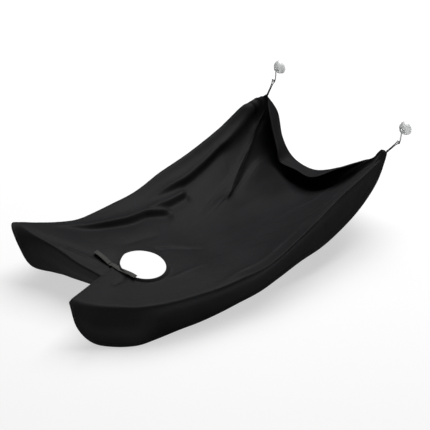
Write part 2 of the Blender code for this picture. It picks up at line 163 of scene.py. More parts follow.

# Creases of the cloth, in millimetres of the cut but for CREASE_RADIUS in metres: see sculpt_folds.
# The first twelve lines were marked along folds in the photograph and carried onto the hung cloth by
# a program, and the last two were set one by one. A crease above GROOVED_HEIGHT has a groove on its
# steep side. A lift has a height, a reach and a place.
CREASE_RADIUS = 0.0022
GROOVED_HEIGHT = 9.5
GROOVE_REACH = 2.2
GROOVE_SHARE = 0.8
FOLDS = (
    (13.0, 13, 5, 0.1, 0.25, ((-385, 787), (-367, 721), (-343, 652), (-322, 578), (-314, 524),
     (-303, 470), (-291, 411), (-278, 349), (-274, 295), (-269, 238), (-262, 190))),
    (12.0, 26, 9, 0.15, 0.12, ((-324, 789), (-329, 767), (-330, 745), (-319, 713), (-287, 669),
     (-255, 623), (-228, 576), (-201, 531), (-157, 465), (-101, 426))),
    (12.0, 13, 5, 0.15, 0.5, ((-244, 335), (-236, 279), (-231, 233), (-234, 189), (-238, 149))),
    (14.0, 14, 6, 0.1, 0.6, ((-203, 242), (-215, 194), (-229, 152), (-229, 108), (-239, 58), (-270, 5),
     (-300, -42), (-333, -112))),
    (9.0, 18, 5, 0.25, 0.1, ((27, 753), (40, 761), (88, 794), (163, 813), (251, 829), (313, 836))),
    (4.2, 6, 5, 0.1, 0.3, ((308, 821), (261, 813), (115, 781), (72, 665), (58, 580), (73, 421))),
    (4.6, 8, 6, 0.05, 0.15, ((328, 795), (229, 773), (278, 665), (289, 430), (267, 377), (256, 306),
     (252, 244), (243, 170), (219, 111), (257, 21))),
    (-7.0, 4, 3, 0.1, 0.6, ((-77, 62), (-64, 106), (-24, 164), (37, 233))),
    (-4.0, 9, 12, 0.3, 0.3, ((-116, -23), (-127, 41), (-128, 140))),
    (4.5, 8, 8, 0.2, 0.3, ((-183, -193), (-131, -162), (-51, -119))),
    (-4.6, 4, 4, 0.2, 0.4, ((68, -152), (71, -114), (67, -52))),
    (3.0, 6, 6, 0.3, 0.3, ((89, 45), (77, 84), (94, 146))),
    (9.0, 16, 16, 0.3, 0.3, ((-388, 815), (-385, 785), (-372, 740))),
    (13.0, 26, 26, 0.65, 0.15, ((260, 856), (335, 850), (392, 832))),
)
CORNER_LIFTS = ((15.0, 26.0, (-392, 803)), (10.0, 30.0, (345, 846)))

# Hanging shape between the neck and the hems, in millimetres: points at shares of the way from the
# neck to the ridge, and from there to the hem. Only the right curtain flares.
INNER_PARTS = (0.3, 0.6, 0.82, 0.93, 0.985)
SHOULDER_PART, CURTAIN_PART, LOWER_PART = 0.07, 0.46, 0.76
FLARE_STARTS = (-75.0, -40.0)
FLARE_ENDS = (76.0, 82.0)
FULL_DROP = 100.0
CURTAIN_BULGE = 8.0
CURTAIN_TUCK = 18.0
SHOULDER_WIDTH = 8.0
HEM_FLARE = 14.0

# The trough: along Y, the outer edges, the ridge's height and the floor's; across it, from the left
# ridge to the right one, the share of the depth in the middle of the length and at the mirror. The
# one turns into the other over MIRROR_BLEND, and the cloth follows the trough fully from
# TROUGH_START on. Millimetres.
TROUGH_START = 140.0
MIRROR_BLEND = (640.0, 830.0)
TROUGH_Y = (0, 140, 240, 315, 404, 500, 600, 695, 765, 836)
TROUGH_LEFT = (-318, -316, -314, -313, -311, -308, -301, -294, -282, -266)
TROUGH_RIGHT = (220, 252, 272, 272, 268, 264, 260, 257, 253, 250)
TROUGH_RIDGE = (0, 2, 9, 22, 42, 63, 90, 110, 126, 138)
TROUGH_FLOOR = (0, -8, -20, -30, -44, -60, -78, -94, -104, -110)
TROUGH_SHARE = (0.0, 0.05, 0.10, 0.14, 0.20, 0.30, 0.42, 0.52, 0.63, 0.72, 0.81, 0.90, 1.0)
DEPTH_MIDDLE = (0.0, 0.10, 0.20, 0.29, 0.43, 0.67, 0.92, 1.0, 0.92, 0.76, 0.54, 0.28, 0.0)
DEPTH_MIRROR = (0.0, 0.10, 0.30, 0.62, 0.90, 1.0, 0.99, 0.92, 0.80, 0.63, 0.44, 0.23, 0.0)

# Angle of a point on the neck ring, the ridge where the cloth turns down, and the hem, in millimetres.
STATIONS = (
    (-130, (-2, -286, 27), (8, -307, 30)),
    (-120, (32, -266, 14), (33, -302, -52)),
    (-106, (62, -232, 3), (68, -270, -108)),
    (-88, (103, -194, 0), (122, -218, -121)),
    (-70, (140, -160, 0), (157, -172, -121)),
    (-52, (166, -115, 0), (178, -111, -117)),
    (-32, (196, -52, 0), (198, -46, -111)),
    (-12, (220, 12, 0), (219, 16, -106)),
    (8, (243, 80, 0), (234, 88, -102)),
    (26, (260, 158, 3), (243, 162, -99)),
    (40, (280, 232, 15), (254, 242, -94)),
    (50, (282, 315, 28), (262, 320, -78)),
    (58, (278, 404, 49), (274, 405, -53)),
    (64, (271, 500, 72), (280, 500, -41)),
    (70, (260, 600, 92), (277, 606, -17)),
    (75, (257, 695, 111), (268, 700, 12)),
    (79, (253, 765, 124), (262, 772, 60)),
    (82, (250, 814, 136), (255, 815, 116)),
    (83.5, (251, 827, 141), (250, 829, 142)),
    (85, (243, 829, 136), (240, 824, 126)),
    (88, (150, 834, 68), (148, 826, 60)),
    (92, (60, 836, 2), (54, 818, -5)),
    (97, (-40, 838, -54), (-15, 781, -48)),
    (101, (-105, 838, -62), (-85, 776, -46)),
    (105, (-160, 836, -38), (-150, 772, -42)),
    (109, (-194, 833, 16), (-162, 770, 2)),
    (112, (-214, 832, 98), (-186, 772, 68)),
    (114.5, (-252, 831, 138), (-226, 796, 122)),
    (115.5, (-260, 826, 143), (-261, 829, 144)),
    (117, (-268, 808, 145), (-264, 800, 136)),
    (121, (-286, 745, 141), (-292, 742, 98)),
    (126, (-295, 650, 99), (-306, 648, 35)),
    (131, (-301, 560, 57), (-317, 558, -15)),
    (137, (-307, 465, 26), (-326, 463, -50)),
    (144, (-313, 370, 12), (-334, 370, -72)),
    (152, (-310, 280, 0), (-336, 280, -80)),
    (162, (-313, 190, 6), (-343, 190, -76)),
    (174, (-316, 105, 6), (-353, 100, -66)),
    (186, (-322, 35, 6), (-367, 20, -45)),
    (197, (-340, -30, 18), (-382, -50, -15)),
    (207, (-362, -98, 38), (-391, -120, 25)),
    (216, (-376, -152, 54), (-391, -177, 57)),
    (225, (-325, -162, 48), (-340, -196, 8)),
    (234, (-262, -154, 38), (-318, -168, -70)),
    (242, (-200, -149, 27), (-292, -96, -119)),
    (250, (-135, -145, 16), (-225, -74, -121)),
    (256, (-80, -133, 5), (-152, -56, -121)),
    (262, (-32, -122, -8), (-92, -50, -121)),
)
RIGHT_CORNER_ANGLE = 83.5
LEFT_CORNER_ANGLE = 115.5
COLUMN_STEPS = 8
COLUMN_POINTS = 90
LINE_STEPS = 12


# ---------------------------------------------------------------- camera, stage, light

def make_camera():
    a, e = math.radians(CAMERA_AZIMUTH), math.radians(CAMERA_ELEVATION)
    right = Vector((math.cos(a), math.sin(a), 0.0))
    back = Vector((math.sin(a) * math.cos(e), -math.cos(a) * math.cos(e), math.sin(e)))
    up = back.cross(right)
    data = bpy.data.cameras.new("camera")
    data.lens = CAMERA_LENS
    data.sensor_width = 36.0
    data.clip_start = 0.1
    data.clip_end = 60.0
    camera = bpy.data.objects.new("camera", data)
    bpy.context.scene.collection.objects.link(camera)
    turn = Matrix((right, up, back)).transposed().to_4x4()
    place = Vector(CAMERA_TARGET) + back * CAMERA_DISTANCE
    camera.matrix_world = Matrix.Translation(place) @ turn
    bpy.context.scene.camera = camera


def aim(obj, place, target):
    obj.location = place
    obj.rotation_mode = "QUATERNION"
    obj.rotation_quaternion = (Vector(place) - Vector(target)).to_track_quat("Z", "Y")


def area_light(name, place, target, size, power):
    data = bpy.data.lights.new(name, "AREA")
    data.shape = "RECTANGLE"
    data.size, data.size_y = size
    data.energy = power
    light = bpy.data.objects.new(name, data)
    bpy.context.scene.collection.objects.link(light)
    aim(light, place, target)


def make_stage():
    mesh = bpy.data.meshes.new("floor")
    w = FLOOR_HALF_WIDTH
    corners = [(-w, -w, 0.0), (w, -w, 0.0), (w, w, 0.0), (-w, w, 0.0)]
    mesh.from_pydata(corners, [], [(0, 1, 2, 3)])
    floor = bpy.data.objects.new("floor", mesh)
    floor.location = (0.0, 0.0, GROUND_Z)
    bpy.context.scene.collection.objects.link(floor)
    material = bpy.data.materials.new("floor_paper")
    material.use_nodes = True
    shader = material.node_tree.nodes["Principled BSDF"]
    shader.inputs["Base Color"].default_value = (FLOOR_GREY, FLOOR_GREY, FLOOR_GREY, 1.0)
    shader.inputs["Roughness"].default_value = 0.9
    shader.inputs["Specular IOR Level"].default_value = 0.1
    shader.inputs["Emission Color"].default_value = (1.0, 1.0, 1.0, 1.0)
    place = material.node_tree.nodes.new("ShaderNodeTexCoord")
    away = material.node_tree.nodes.new("ShaderNodeVectorMath")
    away.operation = "DISTANCE"
    away.inputs[1].default_value = HOLE_VIEW
    # Painted pool of light: the floor glows fully round HOLE_VIEW to lift the cape's shadow under the neck
    # hole.
    glow = material.node_tree.nodes.new("ShaderNodeMapRange")
    glow.interpolation_type = "SMOOTHSTEP"
    for socket, value in zip(list(glow.inputs)[1:5], (FULL_GLOW_RADIUS, OUTER_GLOW_RADIUS, 1.0, FLOOR_GLOW)):
        socket.default_value = value
    material.node_tree.links.new(place.outputs["Object"], away.inputs[0])
    material.node_tree.links.new(away.outputs["Value"], glow.inputs[0])
    material.node_tree.links.new(glow.outputs[0], shader.inputs["Emission Strength"])
    mesh.materials.append(material)
    floor.visible_glossy = False


def make_light():
    """A soft dome, bright overhead and dim at the horizon, and one large softbox beyond the cape."""
    world = bpy.data.worlds.new("studio")
    world.use_nodes = True
    nodes, links = world.node_tree.nodes, world.node_tree.links
    place = nodes.new("ShaderNodeTexCoord")
    split = nodes.new("ShaderNodeSeparateXYZ")
    ramp = nodes.new("ShaderNodeMapRange")
    ramp.interpolation_type = "SMOOTHSTEP"
    ramp.inputs["From Min"].default_value = SKY_LOW
    ramp.inputs["From Max"].default_value = SKY_HIGH
    ramp.inputs["To Min"].default_value = SKY_DIM
    ramp.inputs["To Max"].default_value = SKY_BRIGHT
    links.new(place.outputs["Generated"], split.inputs[0])
    links.new(split.outputs["Z"], ramp.inputs["Value"])
    links.new(ramp.outputs["Result"], nodes["Background"].inputs["Strength"])
    bpy.context.scene.world = world
    area_light("key", KEY_PLACE, KEY_TARGET, KEY_SIZE, KEY_POWER)
    bpy.context.scene.view_settings.view_transform = "Standard"


# ---------------------------------------------------------------- lines

def spline_rows(points, steps):
    """Catmull-Rom curve through an array of points, with that many samples between neighbours."""
    points = np.asarray(points, float)
    ends = np.vstack([2 * points[0] - points[1], points, 2 * points[-1] - points[-2]])
    t = np.arange(steps)[:, None] / steps
    rows = []
    for p0, p1, p2, p3 in zip(ends, ends[1:], ends[2:], ends[3:]):
        linear = (p2 - p0) * t
        square = (2 * p0 - 5 * p1 + 4 * p2 - p3) * t ** 2
        cube = (3 * p1 - p0 - 3 * p2 + p3) * t ** 3
        rows.append((2 * p1 + linear + square + cube) / 2)
    return np.vstack(rows + [points[-1:]])


def smooth_step(x, low, high):
    t = np.clip((x - low) / (high - low), 0.0, 1.0)
    return t * t * (3.0 - 2.0 * t)


def lengths_along(points):
    steps = np.linalg.norm(np.diff(points, axis=0), axis=1)
    return np.concatenate([[0.0], np.cumsum(steps)])


def between(wanted, along, rows):
    """Rows of numbers known at the lengths along, at the wanted lengths."""
    return np.stack([np.interp(wanted, along, column) for column in rows.T], axis=1)


def at_lengths(points, wanted):
    """Points of a polyline at the wanted lengths from its start."""
    return between(wanted, lengths_along(points), points)


def unit_rows(rows):
    return rows / np.linalg.norm(rows, axis=1)[:, None]


def all_up(count):
    return np.tile([0.0, 0.0, 1.0], (count, 1))


# ---------------------------------------------------------------- hanging shape

def neck_point(angle, outset):
    a = math.radians(angle)
    flat = Vector(((NECK_LONG + outset) * math.cos(a), (NECK_SHORT + outset) * math.sin(a), 0.0))
    flat.rotate(Matrix.Rotation(math.radians(NECK_TURN), 3, "Z"))
    flat.z = -LEFT_LOBE_DROP * smooth_step(angle, *DROP_ANGLES)
    return np.array(flat)


def trough_height(x, y):
    """Height of the cloth that sags between the two ridges."""
    left, right, ridge, floor = (
        np.interp(y, TROUGH_Y, row) for row in (TROUGH_LEFT, TROUGH_RIGHT, TROUGH_RIDGE, TROUGH_FLOOR))
    across = (x - left) / (right - left)
    middle, mirror = (np.interp(across, TROUGH_SHARE, row) for row in (DEPTH_MIDDLE, DEPTH_MIRROR))
    near_mirror = smooth_step(y, *MIRROR_BLEND)
    return ridge - (ridge - floor) * (middle + (mirror - middle) * near_mirror)


def inner_point(ring, ridge, part):
    point = ring + (ridge - ring) * part
    trough_share = min(max(point[1] / TROUGH_START, 0.0), 1.0)
    point[2] += (trough_height(point[0], point[1]) - point[2]) * trough_share
    return point


def hanging_columns():
    """Columns of points from the neck over the ridge to the hem, evenly spaced, and each ridge's share."""
    angles = spline_rows([[a] for a, ridge, hem in STATIONS], COLUMN_STEPS)[:, 0]
    ridges = spline_rows([ridge for a, ridge, hem in STATIONS], COLUMN_STEPS)
    hems = spline_rows([hem for a, ridge, hem in STATIONS], COLUMN_STEPS)
    columns = []
    ridge_shares = []
    for angle, ridge, hem in zip(angles, ridges, hems):
        ring = neck_point(angle, BINDING_WIDTH / 2)
        inner = [inner_point(ring, ridge, part) for part in INNER_PARTS]
        outward = np.array([ridge[0] - ring[0], ridge[1] - ring[1], 0.0])
        outward /= np.linalg.norm(outward)
        drop = hem - ridge
        long = min(np.linalg.norm(drop) / FULL_DROP, 1.0)
        flare = float(smooth_step(angle, *FLARE_STARTS) * (1.0 - smooth_step(angle, *FLARE_ENDS)))
        bulge = CURTAIN_BULGE - (CURTAIN_BULGE + CURTAIN_TUCK) * flare
        shoulder = ridge + drop * SHOULDER_PART + outward * SHOULDER_WIDTH * long * flare
        curtain = ridge + drop * CURTAIN_PART + outward * long * bulge
        lower = ridge + drop * LOWER_PART - outward * HEM_FLARE * long * flare
        line = spline_rows([ring, *inner, ridge, shoulder, curtain, lower, hem], LINE_STEPS)
        along = lengths_along(line)
        ridge_shares.append(along[LINE_STEPS * (len(INNER_PARTS) + 1)] / along[-1])
        columns.append(at_lengths(line, np.linspace(0.0, along[-1], COLUMN_POINTS)))
    return angles, np.array(columns) * MM, np.array(ridge_shares)


# ---------------------------------------------------------------- flat cut

def arc(centre_x, centre_y, radius, start, stop, count):
    angles = np.radians(np.linspace(start, stop, count + 1))
    return [(centre_x + radius * math.cos(a), centre_y + radius * math.sin(a)) for a in angles]


def cut_edge():
    """Outer edge of the cut, from the slit's right edge counterclockwise to its left edge."""
    w, near, far = CUT_HALF_WIDTH, CUT_NEAR_Y, CUT_FAR_Y
    rn, rf = CUT_NEAR_RADIUS, CUT_FAR_RADIUS
    right = [(SLIT_HALF_GAP, near)] + arc(w - rn, near + rn, rn, -90, 0, 24)
    right += arc(w - rf, far - rf, rf, 0, 45, 3)
    top = arc(w - rf, far - rf, rf, 45, 90, 3) + arc(rf - w, far - rf, rf, 90, 135, 3)
    left = arc(rf - w, far - rf, rf, 135, 180, 3)
    left += arc(rn - w, near + rn, rn, 180, 270, 24) + [(-SLIT_HALF_GAP, near)]
    return [np.array(part, float) for part in (right, top, left)]


def edge_points(angles, columns):
    """Point of the cut's outer edge for each column, in proportion along the hem between corners."""
    hems = columns[:, -1]
    along = lengths_along(hems)
    marks = np.interp([RIGHT_CORNER_ANGLE, LEFT_CORNER_ANGLE], angles, along)
    limits = [0.0, marks[0], marks[1], along[-1]]
    result = np.zeros((len(along), 2))
    for part, low, high in zip(cut_edge(), limits, limits[1:]):
        inside = (along >= low - 1e-9) & (along <= high + 1e-9)
        total = lengths_along(part)[-1]
        result[inside] = at_lengths(part, (along[inside] - low) / (high - low) * total)
    return result


def hole_points(angles):
    span = angles[-1] - angles[0]
    gap = math.degrees(SLIT_HALF_GAP / CUT_HOLE_RADIUS)
    flat = np.radians(-90 + gap + (angles - angles[0]) / span * (360 - 2 * gap))
    return CUT_HOLE_RADIUS * np.stack([np.cos(flat), np.sin(flat)], axis=1)


def resampled(points, step):
    """Polyline with even steps between its ends, ends kept."""
    total = lengths_along(points)[-1]
    return at_lengths(points, np.linspace(0.0, total, max(2, round(total / step)) + 1))


def cut_outline():
    """Closed outline as pieces: outer edge, slit's left edge, hole clockwise, slit's right edge."""
    outer = resampled(np.vstack(cut_edge()), LATTICE * EDGE_SPACING)
    gap = math.degrees(SLIT_HALF_GAP / CUT_HOLE_RADIUS)
    hole = np.array(arc(0, 0, CUT_HOLE_RADIUS, 270 - gap, -90 + gap, 60))
    left_slit = resampled(np.array([outer[-1], hole[0]]), LATTICE * SLIT_SPACING)
    right_slit = resampled(np.array([hole[-1], outer[0]]), LATTICE * SLIT_SPACING)
    return np.vstack([outer[:-1], left_slit[:-1], hole[:-1], right_slit[:-1]])


def distance_to(points, polyline):
    """Least distance of each point to a closed polyline."""
    best = np.full(len(points), 1e9)
    for a, b in zip(polyline, np.roll(polyline, -1, axis=0)):
        d = b - a
        t = np.clip(((points - a) @ d) / max(d @ d, 1e-12), 0, 1)
        best = np.minimum(best, np.linalg.norm(points - a - t[:, None] * d, axis=1))
    return best


def inside_outline(points, polyline):
    inside = np.zeros(len(points), bool)
    for a, b in zip(polyline, np.roll(polyline, -1, axis=0)):
        if a[1] == b[1]:
            continue
        crosses = (a[1] > points[:, 1]) != (b[1] > points[:, 1])
        x = (b[0] - a[0]) * (points[:, 1] - a[1]) / (b[1] - a[1]) + a[0]
        inside ^= crosses & (points[:, 0] < x)
    return inside


def flat_mesh():
    """Bmesh of the cut in its plane: mostly square cells, with triangles at the edges."""
    outline = cut_outline()
    xs = np.arange(-CUT_HALF_WIDTH + LATTICE / 2, CUT_HALF_WIDTH, LATTICE)
    ys = np.arange(CUT_NEAR_Y + LATTICE / 2, CUT_FAR_Y, LATTICE)
    grid = np.array([(x, y) for y in ys for x in xs])
    grid = grid[inside_outline(grid, outline)]
    grid = grid[distance_to(grid, outline) > LATTICE * EDGE_CLEARANCE]
    points = np.vstack([outline, grid])
    count = len(outline)
    edges = [(i, (i + 1) % count) for i in range(count)]
    result = delaunay_2d_cdt([Vector(p) for p in points], edges, [list(range(count))], 1, 1e-7)
    flat, faces = result[0], result[2]
    work = bmesh.new()
    verts = [work.verts.new((p.x, p.y, 0.0)) for p in flat]
    centres = np.array([np.mean([flat[i] for i in face], axis=0) for face in faces])
    for face, keep in zip(faces, inside_outline(centres, outline)):
        if keep:
            work.faces.new([verts[i] for i in face])
    bmesh.ops.join_triangles(
        work, faces=work.faces, angle_face_threshold=math.pi, angle_shape_threshold=math.radians(25.0),
        cmp_seam=False, cmp_sharp=False, cmp_uvs=False, cmp_vcols=False, cmp_materials=False)
    work.verts.ensure_lookup_table()
    work.verts.index_update()
    return work


# ---------------------------------------------------------------- from the cut to the hanging shape

def column_coordinates(points, holes, edges):
    """For each point of the cut: its column number, with a fraction, and its share along the column."""
    rays = edges - holes
    squares = (rays ** 2).sum(axis=1)
    column = np.zeros(len(points))
    share = np.zeros(len(points))
    for i, p in enumerate(points):
        to = p - holes
        cross = rays[:, 0] * to[:, 1] - rays[:, 1] * to[:, 0]
        along = (to * rays).sum(axis=1) / squares
        ok = (cross[:-1] >= -1e-12) & (cross[1:] <= 1e-12) & (along[:-1] > -0.2) & (along[:-1] < 1.2)
        found = np.nonzero(ok)[0]
        if len(found):
            k = found[0]
            f = cross[k] / max(cross[k] - cross[k + 1], 1e-12)
            column[i] = k + f
            share[i] = along[k] + (along[k + 1] - along[k]) * f
        else:
            near = np.argmin(np.where((along > -0.2) & (along < 1.2), np.abs(cross), 1e9))
            column[i] = near
            share[i] = along[near]
    return column, np.clip(share, 0.0, 1.0)


def table_value(table, column, share):
    """Value of a table over columns and shares, between its entries."""
    k = np.clip(column.astype(int), 0, table.shape[0] - 2)
    j = np.clip((share * (table.shape[1] - 1)).astype(int), 0, table.shape[1] - 2)
    f = (column - k)[:, None]
    g = (share * (table.shape[1] - 1) - j)[:, None]
    low = table[k, j] * (1 - f) + table[k + 1, j] * f
    high = table[k, j + 1] * (1 - f) + table[k + 1, j + 1] * f
    return low * (1 - g) + high * g


# ---------------------------------------------------------------- cloth

def coloured(pairs, count):
    """Groups of pairs in which no vertex appears twice."""
    used = [set() for _ in range(count)]
    groups = []
    for index, (a, b) in enumerate(pairs):
        colour = 0
        while colour in used[a] or colour in used[b]:
            colour += 1
        used[a].add(colour)
        used[b].add(colour)
        while colour >= len(groups):
            groups.append([])
        groups[colour].append(index)
    return [np.array(group) for group in groups]


def cloth_springs(work, flat, start, freedom):
    """Edges, cell diagonals and two-step bends. Their lengths are the flat cut's where freedom is 1
    and the hanging shape's where it is 0."""
    stretch = [(e.verts[0].index, e.verts[1].index) for e in work.edges]
    shear = []
    for face in work.faces:
        v = [vert.index for vert in face.verts]
        if len(v) == 4:
            shear += [(v[0], v[2]), (v[1], v[3])]
    bend = []
    for vert in work.verts:
        near = [e.other_vert(vert).index for e in vert.link_edges]
        ways = [(flat[n] - flat[vert.index]) / np.linalg.norm(flat[n] - flat[vert.index]) for n in near]
        for i in range(len(near)):
            for j in range(i + 1, len(near)):
                if ways[i] @ ways[j] < STRAIGHT_COSINE:
                    bend.append((near[i], near[j]))
    sets = []
    kinds = ((stretch, STRETCH_STIFFNESS), (shear, SHEAR_STIFFNESS), (bend, BEND_STIFFNESS))
    for pairs, stiffness in kinds:
        pairs = np.array(pairs)
        a, b = pairs[:, 0], pairs[:, 1]
        cut = np.linalg.norm(flat[a] - flat[b], axis=1)
        hung = np.linalg.norm(start[a] - start[b], axis=1)
        share = (freedom[a] + freedom[b]) / 2
        rest = cut * share + hung * (1.0 - share)
        for group in coloured(pairs.tolist(), len(flat)):
            sets.append((pairs[group, 0], pairs[group, 1], rest[group], stiffness))
    return sets


def settle(position, springs, goal, hold):
    """Position-based cloth: it falls a little, then its springs and held points are restored."""
    movable = (1.0 - (hold >= 1.0))[:, None]
    previous = position.copy()
    pull = hold[:, None]
    for _ in range(SETTLE_STEPS):
        velocity = (position - previous) * KEPT_SPEED
        previous = position.copy()
        position = position + (velocity + np.array([0.0, 0.0, -FALL])) * movable
        for _ in range(SPRING_ROUNDS):
            for a, b, rest, stiffness in springs:
                d = position[b] - position[a]
                length = np.linalg.norm(d, axis=1)
                wa, wb = movable[a, 0], movable[b, 0]
                scale = stiffness * (length - rest) / np.maximum(length * (wa + wb), 1e-9)
                d *= scale[:, None]
                position[a] += d * wa[:, None]
                position[b] -= d * wb[:, None]
            position += (goal - position) * pull
        low = position[:, 2] < GROUND_Z + FLOOR_GAP
        position[low, 2] = GROUND_Z + FLOOR_GAP
        position[low, :2] = previous[low, :2]
    return position


def evened(work, place, rounds):
    """The cloth with ripples as small as its cells taken out, its edges left alone."""
    work.verts.ensure_lookup_table()
    edges = np.array([(e.verts[0].index, e.verts[1].index) for e in work.edges])
    inner = np.array([not v.is_boundary for v in work.verts])[:, None]
    count = np.bincount(edges.ravel(), minlength=len(place))[:, None]
    for share in EVENING_SHARES * rounds:
        total = np.zeros_like(place)
        np.add.at(total, edges[:, 0], place[edges[:, 1]])
        np.add.at(total, edges[:, 1], place[edges[:, 0]])
        place = place + (total / count - place) * inner * share
    return place


def cloth_plan(angles, columns, ridge_shares, flat):
    """Start shape of the cloth, how firmly each vertex is held there, and how free its lengths are."""
    edges = edge_points(angles, columns)
    holes = hole_points(angles)
    column, share = column_coordinates(flat, holes, edges)
    start = table_value(columns, column, share)
    number = np.arange(len(angles))
    ridge_share = np.interp(column, number, ridge_shares)
    ray = np.interp(column, number, np.linalg.norm(edges - holes, axis=1))
    from_ridge = (share - ridge_share) * ray
    from_hem = (1.0 - share) * ray
    angle = np.interp(column, number, angles)
    mirror = smooth_step(angle, *MIRROR_STARTS) * (1.0 - smooth_step(angle, *MIRROR_ENDS))
    beyond = smooth_step(from_ridge, *BEYOND_RIDGE)
    lobe = 1.0 - smooth_step(start[:, 1], *LOBE_ENDS)

    hold = HOLD_ALL + HOLD_LOBE * lobe + HOLD_BEYOND * beyond
    at_ridge, at_hem = np.exp(-(from_ridge / RIDGE_REACH) ** 2), np.exp(-(from_hem / HEM_REACH) ** 2)
    hold = np.maximum(hold, (HOLD_RIDGE + HOLD_MIRROR * mirror) * at_ridge)
    hold = np.maximum(hold, (HOLD_HEM + HOLD_MIRROR * mirror) * at_hem)
    hold[share * ray < NECK_REACH] = 1.0
    for corner in ((-CUT_HALF_WIDTH, CUT_FAR_Y), (CUT_HALF_WIDTH, CUT_FAR_Y)):
        reach = np.linalg.norm(flat - np.array(corner), axis=1)
        hold = np.maximum(hold, np.exp(-(reach / CORNER_REACH) ** 2))
    freedom = FREEDOM - FREEDOM_LOSS * np.maximum(beyond, lobe)
    return start, hold, freedom


def drape_cape():
    """Bmesh of the cape as it hangs, and each vertex's place in the flat cut."""
    angles, columns, ridge_shares = hanging_columns()
    work = flat_mesh()
    flat = np.array([v.co[:2] for v in work.verts])
    start, hold, freedom = cloth_plan(angles, columns, ridge_shares, flat)
    springs = cloth_springs(work, flat, start, freedom)
    place = settle(start.copy(), springs, start, hold)
    place = evened(work, place, COARSE_EVENING)
    for vert, co in zip(work.verts, place):
        vert.co = co
    return work, flat


def refined(work, flat):
    """Mesh of the hanging cloth with each cell split in four, and each vertex's place in the cut."""
    layer = work.verts.layers.float_vector.new("flat")
    for vert, (u, v) in zip(work.verts, flat):
        vert[layer] = (u, v, 0.0)
    mesh = bpy.data.meshes.new("cape_coarse")
    work.to_mesh(mesh)
    obj = bpy.data.objects.new("cape_coarse", mesh)
    bpy.context.scene.collection.objects.link(obj)
    smooth = obj.modifiers.new("smooth", "SUBSURF")
    smooth.levels = 1
    graph = bpy.context.evaluated_depsgraph_get()
    fine = bpy.data.meshes.new_from_object(obj.evaluated_get(graph))
    bpy.data.objects.remove(obj)
    bpy.data.meshes.remove(mesh)
    flat_places = np.zeros(len(fine.vertices) * 3)
    fine.attributes["flat"].data.foreach_get("vector", flat_places)
    fine.name = "cape"
    return fine, flat_places.reshape(-1, 3)[:, :2]


def vertex_rows(mesh, what):
    """Every vertex's place, "co", or its "normal"."""
    values = np.zeros(len(mesh.vertices) * 3)
    mesh.vertices.foreach_get(what, values)
    return values.reshape(-1, 3)


def line_distance(points, line):
    """Signed distance of points to an open line, positive to its left, and the length along it."""
    along = lengths_along(line)
    best = np.full(len(points), 1e9)
    signed = np.zeros(len(points))
    place = np.zeros(len(points))
    for a, b, start in zip(line, line[1:], along):
        d = b - a
        size = np.linalg.norm(d)
        t = np.clip(((points - a) @ d) / size ** 2, 0, 1)
        off = points - a - t[:, None] * d
        distance = np.linalg.norm(off, axis=1)
        side = np.sign(d[0] * off[:, 1] - d[1] * off[:, 0])
        closer = distance < best
        best = np.where(closer, distance, best)
        signed = np.where(closer, distance * np.where(side == 0, 1, side), signed)
        place = np.where(closer, start + t * size, place)
    return signed, place / along[-1]


def sculpt_folds(mesh, flat):
    """Raise and sink the cloth along its creases. Each has a height, how far that fades to its right
    and left, the shares of its length over which it starts and ends, and its line in the cut."""
    total = np.zeros(len(flat))
    for height, right, left, start, end, points in FOLDS:
        line = spline_rows(np.array(points) * MM, 6)
        distance, place = line_distance(flat, line)
        reach = np.where(distance < 0, right, left) * MM
        size = np.sqrt(distance ** 2 + CREASE_RADIUS ** 2) - CREASE_RADIUS
        fade = smooth_step(place, -1e-3, start) * (1.0 - smooth_step(place, 1.0 - end, 1.001))
        shape = np.exp(-size / reach)
        if height > GROOVED_HEIGHT:
            wide = GROOVE_REACH * min(right, left) * MM
            steep = (distance < 0) == (right < left)
            shape -= GROOVE_SHARE * steep * (size / wide) * np.exp(1.0 - size / wide)
        total += height * MM * shape * fade
    co = vertex_rows(mesh, "co") + vertex_rows(mesh, "normal") * total[:, None]
    for height, reach, place in CORNER_LIFTS:
        away = np.linalg.norm(flat - np.array(place) * MM, axis=1)
        co[:, 2] += height * MM * np.exp(-(away / (reach * MM)) ** 2)
    work = bmesh.new()
    work.from_mesh(mesh)
    co = evened(work, co, FINE_EVENING)
    work.free()
    mesh.vertices.foreach_set("co", co.ravel())
    mesh.update()


def make_cape(mesh, flat):
    layer = mesh.uv_layers.new(name="cut")
    corner = np.zeros(len(mesh.loops), int)
    mesh.loops.foreach_get("vertex_index", corner)
    layer.data.foreach_set("uv", (flat[corner] + np.array([0.5, 0.35])).ravel())
    mesh.shade_smooth()
    cape = bpy.data.objects.new("cape", mesh)
    bpy.context.scene.collection.objects.link(cape)
    thick = cape.modifiers.new("thickness", "SOLIDIFY")
    thick.thickness = SHEET_THICKNESS
    thick.offset = 0.0
    return cape


class Cloth:
    """The hanging cape, looked up by a place in its flat cut."""

    def __init__(self, mesh, flat):
        mesh.calc_loop_triangles()
        corners = np.zeros(len(mesh.loop_triangles) * 3, int)
        mesh.loop_triangles.foreach_get("vertices", corners)
        self.corners = corners.reshape(-1, 3)
        self.flat = flat
        self.places = vertex_rows(mesh, "co")
        self.normals = vertex_rows(mesh, "normal")
        points = [(u, v, 0.0) for u, v in flat]
        self.tree = BVHTree.FromPolygons(points, self.corners.tolist())

    def at(self, points):
        """Places and normals of the hanging cloth at points of the cut, in metres."""
        places, normals = [], []
        for u, v in points:
            spot, _, index, _ = self.tree.find_nearest((u, v, 0.0))
            a, b, c = self.corners[index]
            m = np.array([self.flat[b] - self.flat[a], self.flat[c] - self.flat[a]]).T
            s, t = np.linalg.solve(m, np.array(spot[:2]) - self.flat[a])
            weights = np.array([1.0 - s - t, s, t])
            places.append(weights @ self.places[[a, b, c]])
            normals.append(weights @ self.normals[[a, b, c]])
        return np.array(places), unit_rows(np.array(normals))


# ---------------------------------------------------------------- procedural materials

